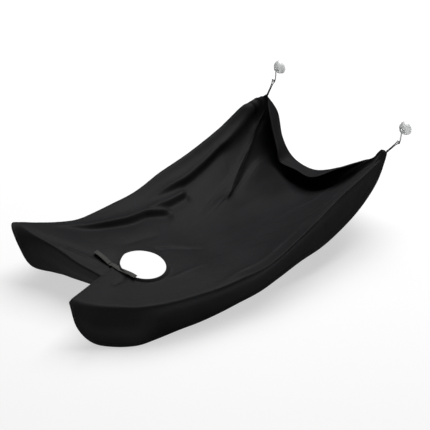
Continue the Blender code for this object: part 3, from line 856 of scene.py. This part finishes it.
class Shade:
    """Short calls for one material's nodes."""

    def __init__(self, name, colour, roughness, specular=0.3):
        self.material = bpy.data.materials.new(name)
        self.material.use_nodes = True
        self.tree = self.material.node_tree
        self.shader = self.tree.nodes["Principled BSDF"]
        self.shader.inputs["Base Color"].default_value = (*colour, 1.0)
        self.shader.inputs["Roughness"].default_value = roughness
        self.shader.inputs["Specular IOR Level"].default_value = specular
        self.colour = colour

    def node(self, kind, **values):
        node = self.tree.nodes.new(kind)
        for name, value in values.items():
            setattr(node, name, value)
        return node

    def link(self, source, target):
        self.tree.links.new(source, target)

    def place(self, uv):
        """Texture place: a UV layer in metres, or the object's own place where uv is None."""
        if uv is None:
            return self.node("ShaderNodeTexCoord").outputs["Object"]
        return self.node("ShaderNodeUVMap", uv_map=uv).outputs["UV"]

    def stretched(self, place, scale=(1.0, 1.0, 1.0), turn=0.0):
        mapping = self.node("ShaderNodeMapping")
        mapping.inputs["Scale"].default_value = scale
        mapping.inputs["Rotation"].default_value = (0.0, 0.0, turn)
        self.link(place, mapping.inputs["Vector"])
        return mapping.outputs["Vector"]

    def noise(self, place, scale, detail=2.0, rough=0.5):
        noise = self.node("ShaderNodeTexNoise")
        noise.inputs["Scale"].default_value = scale
        noise.inputs["Detail"].default_value = detail
        noise.inputs["Roughness"].default_value = rough
        self.link(place, noise.inputs["Vector"])
        return noise.outputs["Fac"]

    def bands(self, place, pitch, direction="X"):
        """Rounded ribs across a direction, one every pitch metres."""
        wave = self.node("ShaderNodeTexWave", wave_type="BANDS", bands_direction=direction)
        wave.inputs["Scale"].default_value = math.pi / 10.0 / pitch
        self.link(place, wave.inputs["Vector"])
        return wave.outputs["Fac"]

    def math(self, operation, a, b):
        node = self.node("ShaderNodeMath", operation=operation)
        for value, socket in zip((a, b), node.inputs):
            if isinstance(value, float):
                socket.default_value = value
            else:
                self.link(value, socket)
        return node.outputs[0]

    def blend(self, one, other, share):
        """A share of one value and the rest of the other."""
        rest = self.math("MULTIPLY", other, 1.0 - share)
        return self.math("ADD", self.math("MULTIPLY", one, share), rest)

    def mapped(self, value, low, high, to_low, to_high):
        node = self.node("ShaderNodeMapRange")
        for socket, number in zip(list(node.inputs)[1:5], (low, high, to_low, to_high)):
            socket.default_value = number
        self.link(value, node.inputs[0])
        return node.outputs[0]

    def varied(self, value, low, high):
        """Base colour between two brightnesses of the material's colour, as value goes from 0.3 to 0.7."""
        mix = self.node("ShaderNodeMix", data_type="RGBA")
        mix.inputs["A"].default_value = (*[c * low for c in self.colour], 1.0)
        mix.inputs["B"].default_value = (*[c * high for c in self.colour], 1.0)
        self.link(self.mapped(value, 0.3, 0.7, 0.0, 1.0), mix.inputs["Factor"])
        self.link(mix.outputs["Result"], self.shader.inputs["Base Color"])

    def rough(self, value, low, high):
        self.link(self.mapped(value, 0.3, 0.7, low, high), self.shader.inputs["Roughness"])

    def bump(self, *heights):
        """Bumps one over the other: each is a height from 0 to 1 and its depth in metres."""
        normal = None
        for height, depth in heights:
            bump = self.node("ShaderNodeBump")
            bump.inputs["Strength"].default_value = 1.0
            bump.inputs["Distance"].default_value = depth
            self.link(height, bump.inputs["Height"])
            if normal is not None:
                self.link(normal, bump.inputs["Normal"])
            normal = bump.outputs["Normal"]
        self.link(normal, self.shader.inputs["Normal"])

    def sheen(self, weight, roughness):
        self.shader.inputs["Sheen Weight"].default_value = weight
        self.shader.inputs["Sheen Roughness"].default_value = roughness

    def weave(self, place, pitch):
        """Over and under threads of a plain weave."""
        across = self.bands(place, pitch, "X")
        along = self.bands(place, pitch, "Y")
        return self.math("MAXIMUM", across, along)


def satin():
    """Black satin-like polyester: fine diagonal floats, faint wear, and small creases."""
    s = Shade("satin_polyester", (0.019, 0.019, 0.0205), 0.46, 0.05)
    cut = s.place("cut")
    clouds = s.noise(cut, 9.0, 4.0)
    streaks = s.noise(s.stretched(cut, (900.0, 60.0, 1.0)), 1.0, 2.0)
    s.varied(s.blend(clouds, streaks, 0.6), 0.86, 1.16)
    s.rough(clouds, 0.41, 0.49)
    floats = s.bands(s.stretched(cut, turn=math.radians(27.0)), 0.00042)
    threads = s.bands(cut, 0.00026, "Y")
    crumple = s.noise(cut, 34.0, 3.0, 0.45)
    s.bump((crumple, 0.0007), (floats, 0.00003), (threads, 0.00002))
    s.sheen(0.06, 0.35)
    return s.material


def woven(name, colour, pitch, depth, low=0.85, high=1.15):
    """Tape or webbing: a plain weave with uneven threads."""
    s = Shade(name, colour, 0.6, 0.25)
    place = s.place("cut")
    threads = s.noise(s.stretched(place, (1800.0, 260.0, 1.0)), 1.0, 2.0)
    wear = s.noise(place, 60.0, 3.0)
    s.varied(s.blend(threads, wear, 0.5), low, high)
    s.bump((s.weave(place, pitch), depth), (threads, depth * 0.5))
    s.sheen(0.1, 0.5)
    return s.material


def pile(name, colour, scale, depth, sheen):
    """Fuzzy loops or stiff hooks of a touch fastener."""
    s = Shade(name, colour, 0.9, 0.15)
    place = s.place("cut")
    cells = s.node("ShaderNodeTexVoronoi")
    cells.inputs["Scale"].default_value = scale
    s.link(place, cells.inputs["Vector"])
    s.varied(s.noise(place, scale * 0.7, 3.0), 0.6, 1.5)
    s.bump((s.noise(place, scale * 0.5, 4.0, 0.7), depth), (cells.outputs["Distance"], depth))
    s.sheen(sheen, 0.6)
    return s.material


def braided_cord():
    """Black braid: two sets of strands that wind in opposite ways."""
    s = Shade("cord", (0.010, 0.010, 0.010), 0.62, 0.3)
    place = s.place("cut")
    one = s.bands(s.stretched(place, turn=math.radians(38.0)), 0.0007)
    other = s.bands(s.stretched(place, turn=math.radians(-38.0)), 0.0007)
    s.varied(s.noise(place, 900.0, 2.0), 0.7, 1.3)
    s.bump((s.math("MAXIMUM", one, other), 0.00018))
    s.sheen(0.15, 0.5)
    return s.material


def stitching_thread():
    s = Shade("stitch_thread", (0.026, 0.026, 0.027), 0.55, 0.35)
    place = s.place(None)
    s.varied(s.noise(place, 700.0, 2.0), 0.75, 1.3)
    s.bump((s.noise(place, 2500.0, 2.0), 0.00006))
    s.sheen(0.2, 0.5)
    return s.material


def clear_plastic(name, colour, roughness, transmission, alpha, flow):
    """Clear moulded plastic, with a faint uneven surface and slight haze."""
    s = Shade(name, colour, roughness, 0.5)
    s.shader.inputs["Transmission Weight"].default_value = transmission
    s.shader.inputs["IOR"].default_value = 1.45
    s.shader.inputs["Alpha"].default_value = alpha
    place = s.place(None)
    uneven = s.noise(place, flow, 2.0)
    s.rough(uneven, roughness * 0.7, roughness * 1.6)
    s.bump((uneven, 0.00012))
    return s.material


# ---------------------------------------------------------------- pieces made as meshes

def new_piece(name, points, faces, material, uvs=None):
    """Mesh object from points in metres; uvs gives each vertex's place in the layer called cut."""
    mesh = bpy.data.meshes.new(name)
    mesh.from_pydata([tuple(p) for p in points], [], faces)
    if uvs is not None:
        layer = mesh.uv_layers.new(name="cut")
        for loop in mesh.loops:
            layer.data[loop.index].uv = tuple(uvs[loop.vertex_index])
    mesh.shade_smooth()
    obj = bpy.data.objects.new(name, mesh)
    bpy.context.scene.collection.objects.link(obj)
    mesh.materials.append(material)
    return obj


def rounded_section(half_width, half_height, corner, steps=3):
    """Closed section of a flat tape with rounded edges, in its (side, up) plane."""
    section = []
    for cx, cy, start in ((1, 1, 0), (-1, 1, 90), (-1, -1, 180), (1, -1, 270)):
        for k in range(steps + 1):
            a = math.radians(start + 90.0 * k / steps)
            x = cx * (half_width - corner) + corner * math.cos(a)
            y = cy * (half_height - corner) + corner * math.sin(a)
            section.append((x, y))
    return section


def swept(name, path, ups, section, material, scales=None):
    """Closed section swept along a path, with its second axis along ups and its ends capped."""
    path = np.asarray(path, float)
    ups = np.asarray(ups, float)
    ways = unit_rows(np.gradient(path, axis=0))
    sides = unit_rows(np.cross(ways, ups))
    ups = np.cross(sides, ways)
    along = lengths_along(path)
    round_section = lengths_along(np.array(section + [section[0]]))
    points, uvs, faces = [], [], []
    count = len(section)
    for i, p in enumerate(path):
        k = 1.0 if scales is None else scales[i]
        for j, (x, y) in enumerate(section):
            points.append(p + sides[i] * x * k + ups[i] * y)
            uvs.append((round_section[j], along[i]))
    last = (len(path) - 1) * count
    for a in range(0, last, count):
        for j in range(count):
            n = (j + 1) % count
            faces.append((a + j, a + n, a + count + n, a + count + j))
    faces.append(tuple(range(count - 1, -1, -1)))
    faces.append(tuple(last + j for j in range(count)))
    return new_piece(name, points, faces, material, uvs)


def stitches(name, rows, material, length=0.0028, gap=0.0009, radius=0.00028):
    """One piece of all the threads along several rows; each row is a path and its normals."""
    points, faces = [], []
    for path, ups in rows:
        path, ups = np.asarray(path, float), np.asarray(ups, float)
        fine = np.arange(0.0, lengths_along(path)[-1], 0.0015)
        normals = unit_rows(between(fine, lengths_along(path), ups))
        found, sides = stitch_row(at_lengths(path, fine), normals, length, gap, radius)
        faces += [tuple(v + len(points) for v in face) for face in sides]
        points += found
    return new_piece(name, points, faces, material)


def stitch_row(path, normals, length, gap, radius):
    along = lengths_along(path)
    both = np.hstack([path, normals])
    points, faces = [], []
    for start in np.arange(gap, along[-1] - length, length + gap):
        marks = start + length * np.array([0.0, 0.15, 0.5, 0.85, 1.0])
        here = between(marks, along, both)
        base = len(points)
        way = here[-1, :3] - here[0, :3]
        for k, (wide, high) in enumerate(((0.3, -0.5), (0.85, 0.4), (1.0, 0.8), (0.85, 0.4), (0.3, -0.5))):
            up = here[k, 3:] / np.linalg.norm(here[k, 3:])
            side = np.cross(way, up)
            side /= np.linalg.norm(side)
            middle = here[k, :3] + up * (radius * high)
            for j in range(5):
                a = 2 * math.pi * j / 5
                points.append(middle + radius * wide * (side * math.cos(a) + up * math.sin(a)))
        for k in range(4):
            for j in range(5):
                a, n = base + k * 5, (j + 1) % 5
                faces.append((a + j, a + n, a + 5 + n, a + 5 + j))
        faces.append(tuple(base + j for j in range(4, -1, -1)))
        faces.append(tuple(base + 20 + j for j in range(5)))
    return points, faces


# ---------------------------------------------------------------- hems and neck tape

def inward_rows(depths):
    """Places in the cut along its outer and slit edges, at several depths from the edge."""
    edge = resampled(np.vstack(cut_edge()), HEM_STEP)
    keep = np.r_[True, np.linalg.norm(np.diff(edge, axis=0), axis=1) > 1e-6]
    edge = edge[keep]
    way = np.pad(np.gradient(edge, axis=0), ((3, 3), (0, 0)), mode="edge")
    way = np.stack([np.convolve(column, np.ones(7) / 7, "valid") for column in way.T], axis=1)
    way = unit_rows(way)
    inward = np.stack([-way[:, 1], way[:, 0]], axis=1)
    return [edge + inward * depth for depth in depths]


def slit_rows(side, depths):
    """The same along one edge of the slit, from the neck to the outer edge."""
    x = side * SLIT_HALF_GAP
    ys = np.arange(-CUT_HOLE_RADIUS - 0.004, CUT_NEAR_Y + HEM_WIDTH, -HEM_STEP)
    return [np.stack([np.full(len(ys), x + side * depth), ys], axis=1) for depth in depths]


def hem_band(cloth, rows, name, material):
    """Folded hem: one closed band over both faces of the edge. rows go from the edge inwards."""
    section = []
    for share, lift in ((1.0, 0.30), (0.97, 0.55), (0.6, 0.62), (0.2, 0.66), (0.0, 0.5), (-0.03, 0.0)):
        section.append((share, lift * MM))
    section += [(share, -lift) for share, lift in reversed(section[:-1])]
    placed = []
    edge, inner = rows
    for share, lift in section:
        places, normals = cloth.at(edge + (inner - edge) * max(share, 0.0))
        if share < 0:
            step, _ = cloth.at(edge + (inner - edge) * 0.1)
            places = places + unit_rows(places - step) * HEM_FOLD_DEPTH
        placed.append(places + normals * lift)
    count, length = len(section), len(edge)
    points = np.stack(placed, axis=1).reshape(-1, 3)
    along = lengths_along(edge)
    uvs = [(along[i], j * 0.002) for i in range(length) for j in range(count)]
    faces = []
    for i in range(length - 1):
        for j in range(count):
            n = (j + 1) % count
            a, b = i * count, (i + 1) * count
            faces.append((a + j, b + j, b + n, a + n))
    faces.append(tuple(range(count)))
    faces.append(tuple((length - 1) * count + j for j in range(count - 1, -1, -1)))
    return new_piece(name, points, faces, material, uvs)


def make_hems(cloth, material, thread):
    """Hems along the outer edge and the slit, and the rows of stitches through them."""
    bands = []
    rows = []
    depths = (0.0, HEM_WIDTH, HEM_WIDTH - HEM_SEAM_INSET)
    for name, (edge, inner, seam) in (
            ("outer_hem", inward_rows(depths)), ("right_slit_hem", slit_rows(1.0, depths)),
            ("left_slit_hem", slit_rows(-1.0, depths))):
        bands.append(hem_band(cloth, (edge, inner), name, material))
        places, normals = cloth.at(seam)
        lift = normals * HEM_THREAD_LIFT
        rows += [(places + lift, normals), (places - lift, -normals)]
    bands.append(stitches("hem_stitches", rows, thread))
    return bands


def neck_frame():
    """Angles along the neck, each one's middle place, and its outward way in metres."""
    angles = np.linspace(STATIONS[0][0] + 0.5, STATIONS[-1][0] - 0.5, 220)
    inner = np.array([neck_point(a, 0.0) for a in angles]) * MM
    outer = np.array([neck_point(a, 1.0) for a in angles]) * MM
    return angles, inner, unit_rows(outer - inner)


def make_neck_tape(material, thread):
    """Binding folded over the neck edge, which stands up a little like a low collar."""
    angles, middle, outward = neck_frame()
    tilt = math.radians(NECK_TILT)
    up = np.array([0.0, 0.0, 1.0])
    ups = up * math.cos(tilt) + outward * math.sin(tilt)
    across = outward * math.cos(tilt) - up * math.sin(tilt)
    count = np.arange(len(angles))
    pucker = 1.0 + NECK_PUCKER * np.sin(count * 1.9) * np.sin(count * 0.37)
    path = middle + outward * NECK_OUTSET + up * NECK_RISE
    section = rounded_section(NECK_TAPE_WIDTH / 2, NECK_TAPE_HALF_THICKNESS, 0.0010)
    tape = swept("neck_tape", path, ups, section, material, pucker)
    seam = path + across * (NECK_TAPE_WIDTH / 2 - SEAM_INSET) * pucker[:, None]
    rows = [(seam + ups * side * NECK_TAPE_HALF_THICKNESS, ups * side) for side in (1.0, -1.0)]
    return tape, stitches("neck_stitches", rows, thread, 0.0024, 0.0008)


# ---------------------------------------------------------------- closure

def node_line(node, count):
    """Centre line of a strip-like CAD node, from its lowest to its highest X."""
    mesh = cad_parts[node].data
    places = vertex_rows(mesh, "co")
    edges = np.quantile(places[:, 0], np.linspace(0.0, 1.0, count + 1))
    line = []
    for low, high in zip(edges, edges[1:]):
        here = places[(places[:, 0] >= low - 1e-6) & (places[:, 0] <= high + 1e-6)]
        line.append(here.mean(axis=0))
    line = np.array(line)
    line[:, 1] = (places[:, 1].min() + places[:, 1].max()) / 2
    line[0, 0], line[-1, 0] = places[:, 0].min(), places[:, 0].max()
    return line


def tape_strip(name, line, width, thickness, material):
    line = at_lengths(spline_rows(line, 4), np.linspace(0, lengths_along(line)[-1] * 0.999, 60))
    section = rounded_section(width / 2, thickness / 2, thickness * 0.42)
    return swept(name, line, all_up(len(line)), section, material)


def box_rows(line, low, high, width, lift):
    """Rectangle of stitches with its diagonals, on the top of a strip between two X values."""
    y = line[0, 1]
    corners = [(low, y - width / 2), (high, y - width / 2), (high, y + width / 2), (low, y + width / 2)]
    rows = []
    for a, b in ((0, 1), (1, 2), (2, 3), (3, 0), (0, 2), (1, 3)):
        xs = np.linspace(corners[a][0], corners[b][0], 12)
        ys = np.linspace(corners[a][1], corners[b][1], 12)
        zs = np.interp(xs, line[:, 0], line[:, 2]) + lift
        rows.append((np.stack([xs, ys, zs], axis=1), all_up(12)))
    return rows


def edge_rows(line, inset, width, lift):
    rows = []
    for side in (-1.0, 1.0):
        row = line.copy()
        row[:, 1] += side * (width / 2 - inset)
        row[:, 2] += lift
        rows.append((row, all_up(len(line))))
    return rows


def make_closure(webbing, hooks, loops, thread):
    strap_line = node_line("closure_strap", 13)
    from_end = strap_line[-1, 0] - strap_line[:, 0]
    strap_line[:, 2] += STRAP_LIFT * smooth_step(from_end, *STRAP_RAMP)
    tab_line = node_line("closure_tab", 9)
    tab_line[-1, 0] -= HINGE_GAP
    strap_line[0, 0] += HINGE_GAP
    strap = tape_strip("strap", strap_line, STRAP_WIDTH, STRAP_THICKNESS, webbing)
    tab = tape_strip("tab", tab_line, STRAP_WIDTH, STRAP_THICKNESS, webbing)
    lift = STRAP_THICKNESS / 2
    rows = edge_rows(strap_line[1:], SEAM_INSET, STRAP_WIDTH, lift)
    rows += box_rows(strap_line, strap_line[-1, 0] - 0.020, strap_line[-1, 0] - 0.004, 0.010, lift)
    strap_seams = stitches("strap_stitches", rows, thread)
    rows = edge_rows(tab_line[1:-1], SEAM_INSET, STRAP_WIDTH, lift)
    rows += box_rows(tab_line, tab_line[0, 0] + 0.003, tab_line[0, 0] + 0.013, 0.011, lift)
    tab_seams = stitches("tab_stitches", rows, thread)
    hook_line = node_line("hook_tape", 7)
    loop_line = node_line("loop_tape", 13)
    hook_strip = tape_strip("hook_strip", hook_line, TAPE_WIDTH, TAPE_THICKNESS, hooks)
    loop_strip = tape_strip("loop_strip", loop_line, TAPE_WIDTH, TAPE_THICKNESS, loops)
    rows = edge_rows(loop_line, TAPE_SEAM_INSET, TAPE_WIDTH, TAPE_THICKNESS / 2)
    loop_seams = stitches("loop_strip_stitches", rows, thread)
    return strap, strap_seams, tab, tab_seams, hook_strip, loop_strip, loop_seams


# ---------------------------------------------------------------- cord loops

def cup_place(side):
    low, high = (np.array(c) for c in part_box(f"{side}_suction_cup"))
    return np.array([(low[0] + high[0]) / 2, high[1], (low[2] + high[2]) / 2])


def hook_matrix(side):
    """Metre matrix at the hook ring's centre, with local +Y along the cup's axis to the mirror."""
    x, y, z = cup_place(side)
    place = Matrix.Translation((x, y - RING_SETBACK * MM, z))
    return place @ Matrix.Rotation(math.radians(HOOK_ROLL[side]), 4, "Y")


def throat_point(side):
    rest = -ARM_DROP - J_RADIUS + ARM_THICKNESS / 2 + CORD_DIAMETER / 2 + CORD_GAP
    return hook_matrix(side) @ Vector((0.0, -J_RADIUS * MM, rest * MM))


def loop_route(side):
    """Both strands of a loop: from the corner up one side of the J, across its throat and back."""
    corner = Vector(CORNER[side]) * MM
    throat = throat_point(side)
    along = (throat - corner).normalized()
    across = hook_matrix(side).to_3x3() @ Vector((1.0, 0.0, 0.0))
    level = (along - across * along.dot(across)).normalized()
    beside = ARM_WIDTH / 2 + CORD_DIAMETER / 2 + CORD_GAP
    strand = (
        (corner - along * 6.0 * MM, 1.5), (corner.lerp(throat, 0.35), 1.8),
        (corner.lerp(throat, 0.75), 2.4), (throat - level * 4.5 * MM, beside + 0.1),
        (throat - level * 0.9 * MM, beside - 0.4), (throat, ARM_WIDTH / 2 - 0.4),
    )
    up = [place + across * offset * MM for place, offset in strand]
    down = [place - across * offset * MM for place, offset in reversed(strand)]
    return np.array([tuple(p) for p in up + down])


def make_loop(side, material, thread):
    """Braided cord loop, with the sewn block that fixes it in the cape's corner."""
    line = spline_rows(loop_route(side), 8)
    line = at_lengths(line, np.linspace(0.0, lengths_along(line)[-1], 110))
    hint = hook_matrix(side).to_3x3() @ Vector((0.0, 0.35, 1.0))
    r = CORD_DIAMETER / 2 * MM
    ring = [(r * math.cos(a), r * math.sin(a)) for a in np.linspace(0, 2 * math.pi, 16, endpoint=False)]
    cord = swept(f"{side}_cord", line, frames_along(line, np.array(hint)), ring, material)
    corner = np.array(CORNER[side]) * MM
    way = line[4] - line[0] + line[-5] - line[-1]
    way /= np.linalg.norm(way)
    knot = [corner + way * t * MM for t in (-3.0, -1.0, 1.5, 4.0, 6.0)]
    wide = [0.75, 1.0, 1.05, 0.95, 0.6]
    across = np.array(hook_matrix(side).to_3x3() @ Vector((1.0, 0.0, 0.0)))
    tack = swept(f"{side}_cord_tack", knot, np.tile(np.cross(across, way), (5, 1)),
                 rounded_section(0.0034, 0.0018, 0.0016, 4), thread, wide)
    return cord, tack


def frames_along(line, first):
    """Up vectors that turn no more than the line makes them."""
    ups = []
    up = first
    for way in unit_rows(np.gradient(line, axis=0)):
        up = up - way * (up @ way)
        up = up / np.linalg.norm(up)
        ups.append(up)
    return np.array(ups)


# ---------------------------------------------------------------- hooks and cups

def turned(profile, steps):
    """Points and faces of a profile of (radius, height) turned about local Z, with merged poles."""
    points, faces, rings = [], [], []
    for radius, height in profile:
        if radius < 1e-6:
            rings.append([len(points)] * steps)
            points.append((0.0, 0.0, height))
            continue
        rings.append([len(points) + k for k in range(steps)])
        for k in range(steps):
            a = 2 * math.pi * k / steps
            points.append((radius * math.cos(a), radius * math.sin(a), height))
    for low, high in zip(rings, rings[1:]):
        for k in range(steps):
            n = (k + 1) % steps
            face = [low[k], low[n], high[n], high[k]]
            faces.append(tuple(dict.fromkeys(face)))
    return points, faces


def rounded_profile(profile, radius, steps=4):
    """Profile with each inner corner rounded, by up to radius."""
    profile = np.asarray(profile, float)
    result = [profile[0]]
    for before, here, after in zip(profile, profile[1:], profile[2:]):
        a, b = before - here, after - here
        la, lb = np.linalg.norm(a), np.linalg.norm(b)
        cut = min(radius, la * 0.45, lb * 0.45)
        start, end = here + a / la * cut, here + b / lb * cut
        for k in range(steps + 1):
            t = k / steps
            result.append((1 - t) ** 2 * start + 2 * t * (1 - t) * here + t * t * end)
    result.append(profile[-1])
    return result


def cup_profile():
    """Outer side from the knob's top to the rim, the flat lip, then the hollow back to the axis."""
    outer = [(0.0, 27.0), (3.4, 26.7), (5.5, 25.5), (6.2, 23.8), (5.5, 22.5), (4.25, 22.1), (4.2, 18.6)]
    outer += [(6.0, 18.2), (10.4, 17.4), (15.0, 15.0), (18.8, 11.0), (21.2, 6.4), (22.2, 2.6)]
    outer += [(22.5, 1.0), (22.5, 0.0)]
    hollow = [(20.8, 0.0), (18.6, 2.3), (15.0, 4.6), (10.0, 6.4), (5.0, 7.3), (0.0, 7.6)]
    return rounded_profile(outer + hollow, 1.6)


def make_cup(side, material):
    points, faces = turned([(r * MM, h * MM) for r, h in cup_profile()], 96)
    x, y, z = cup_place(side)
    turn = Matrix.Translation((x, y, z)) @ Matrix.Rotation(math.radians(90.0), 4, "X")
    points = [turn @ Vector(p) for p in points]
    return new_piece(f"{side}_cup", points, faces, material)


def arm_line():
    """Centre line of the hook's arm in (y, z), millimetres: down, round the J, and a little up."""
    line = [(0.0, z) for z in np.linspace(-RING_OUTER + 1.2, -ARM_DROP, 12)]
    for k in range(1, 25):
        a = math.pi * k / 24
        line.append((-J_RADIUS + J_RADIUS * math.cos(a), -ARM_DROP - J_RADIUS * math.sin(a)))
    line += [(-2 * J_RADIUS, -ARM_DROP + J_TIP_RISE * t) for t in (0.35, 0.7, 1.0)]
    return line


def ring_points():
    half = RING_THICKNESS / 2
    section = rounded_section((RING_OUTER - RING_INNER) / 2, half, 1.0, 4)
    middle = (RING_OUTER + RING_INNER) / 2
    profile = [((middle + x) * MM, y * MM) for x, y in section]
    points, faces = turned(profile + profile[:1], RING_STEPS)
    count = len(profile) * RING_STEPS
    faces = [tuple(i % count for i in face) for face in faces]
    points = points[:count]
    turn = Matrix.Rotation(math.radians(90.0), 4, "X")
    return [turn @ Vector(p) for p in points], faces


def make_hook(side, material):
    points, faces = ring_points()
    ring = new_piece(f"{side}_hook_clear", points, faces, material)
    line = np.array([(0.0, y * MM, z * MM) for y, z in arm_line()])
    count = len(line)
    wide = np.ones(count)
    wide[-3:] = (0.93, 0.8, 0.5)
    wide[:2] = (1.25, 1.12)
    section = rounded_section(ARM_WIDTH / 2 * MM, ARM_THICKNESS / 2 * MM, 0.0009, 3)
    ups = np.cross(unit_rows(np.gradient(line, axis=0)), (1.0, 0.0, 0.0))
    arm = swept("arm", line, ups, section, material, wide)
    union = ring.modifiers.new("union", "BOOLEAN")
    union.operation = "UNION"
    union.object = arm
    graph = bpy.context.evaluated_depsgraph_get()
    mesh = bpy.data.meshes.new_from_object(ring.evaluated_get(graph))
    ring.modifiers.clear()
    bpy.data.objects.remove(arm)
    mesh.transform(hook_matrix(side))
    mesh.shade_smooth()
    mesh.set_sharp_from_angle(angle=math.radians(50.0))
    ring.data = mesh
    return ring


# ---------------------------------------------------------------- assembly

def add(body, slot, piece, *nodes):
    """Piece on a body, and the CAD nodes that it stands for, which are hidden; slot is not used."""
    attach(piece, body)
    if nodes:
        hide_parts(*nodes)


make_camera()
make_stage()
make_light()

cape_mesh, cape_flat = refined(*drape_cape())
sculpt_folds(cape_mesh, cape_flat)
cloth = Cloth(cape_mesh, cape_flat)
satin_look = satin()
thread = stitching_thread()
cape = make_cape(cape_mesh, cape_flat)
cape.data.materials.append(satin_look)
add("cape", "satin_polyester", cape, "cape_sheet")
hems = make_hems(cloth, satin_look, thread)
for piece in hems:
    add("cape", "satin_polyester", piece)

binding_look = woven("binding_tape", (0.006, 0.006, 0.0065), 0.0006, 0.00008)
neck_tape, neck_seam = make_neck_tape(binding_look, thread)
add("cape", "binding_tape", neck_tape, "neck_binding")
add("cape", "binding_tape", neck_seam)

webbing = woven("strap_webbing", (0.052, 0.052, 0.048), 0.0009, 0.00014, 0.8, 1.25)
hook_look = pile("hook_pile", (0.02, 0.02, 0.02), 900.0, 0.0002, 0.1)
loop_look = pile("loop_pile", (0.022, 0.022, 0.022), 520.0, 0.0004, 0.5)
strap, strap_seams, tab, tab_seams, hook_strip, loop_strip, loop_seams = make_closure(
    webbing, hook_look, loop_look, thread)
add("cape", "strap_webbing", strap, "closure_strap")
add("cape", "strap_webbing", strap_seams)
add("tab", "strap_webbing", tab, "closure_tab")
add("tab", "strap_webbing", tab_seams)
add("tab", "hook_pile", hook_strip, "hook_tape")
add("cape", "loop_pile", loop_strip, "loop_tape")
add("cape", "loop_pile", loop_seams)

cord_look = braided_cord()
hook_plastic = clear_plastic("clear_hook_plastic", (0.74, 0.76, 0.76), 0.22, 0.40, 0.92, 120.0)
cup_vinyl = clear_plastic("clear_cup_vinyl", (0.97, 0.98, 0.98), 0.34, 0.45, 0.93, 70.0)
for side in ("left", "right"):
    cord, tack = make_loop(side, cord_look, thread)
    add(f"{side}_loop", "cord", cord, f"{side}_cord_loop")
    add(f"{side}_loop", "cord", tack)
    add(f"{side}_hook_body", "clear_hook_plastic", make_hook(side, hook_plastic), f"{side}_hook")
    add(f"{side}_cup", "clear_cup_vinyl", make_cup(side, cup_vinyl), f"{side}_suction_cup")
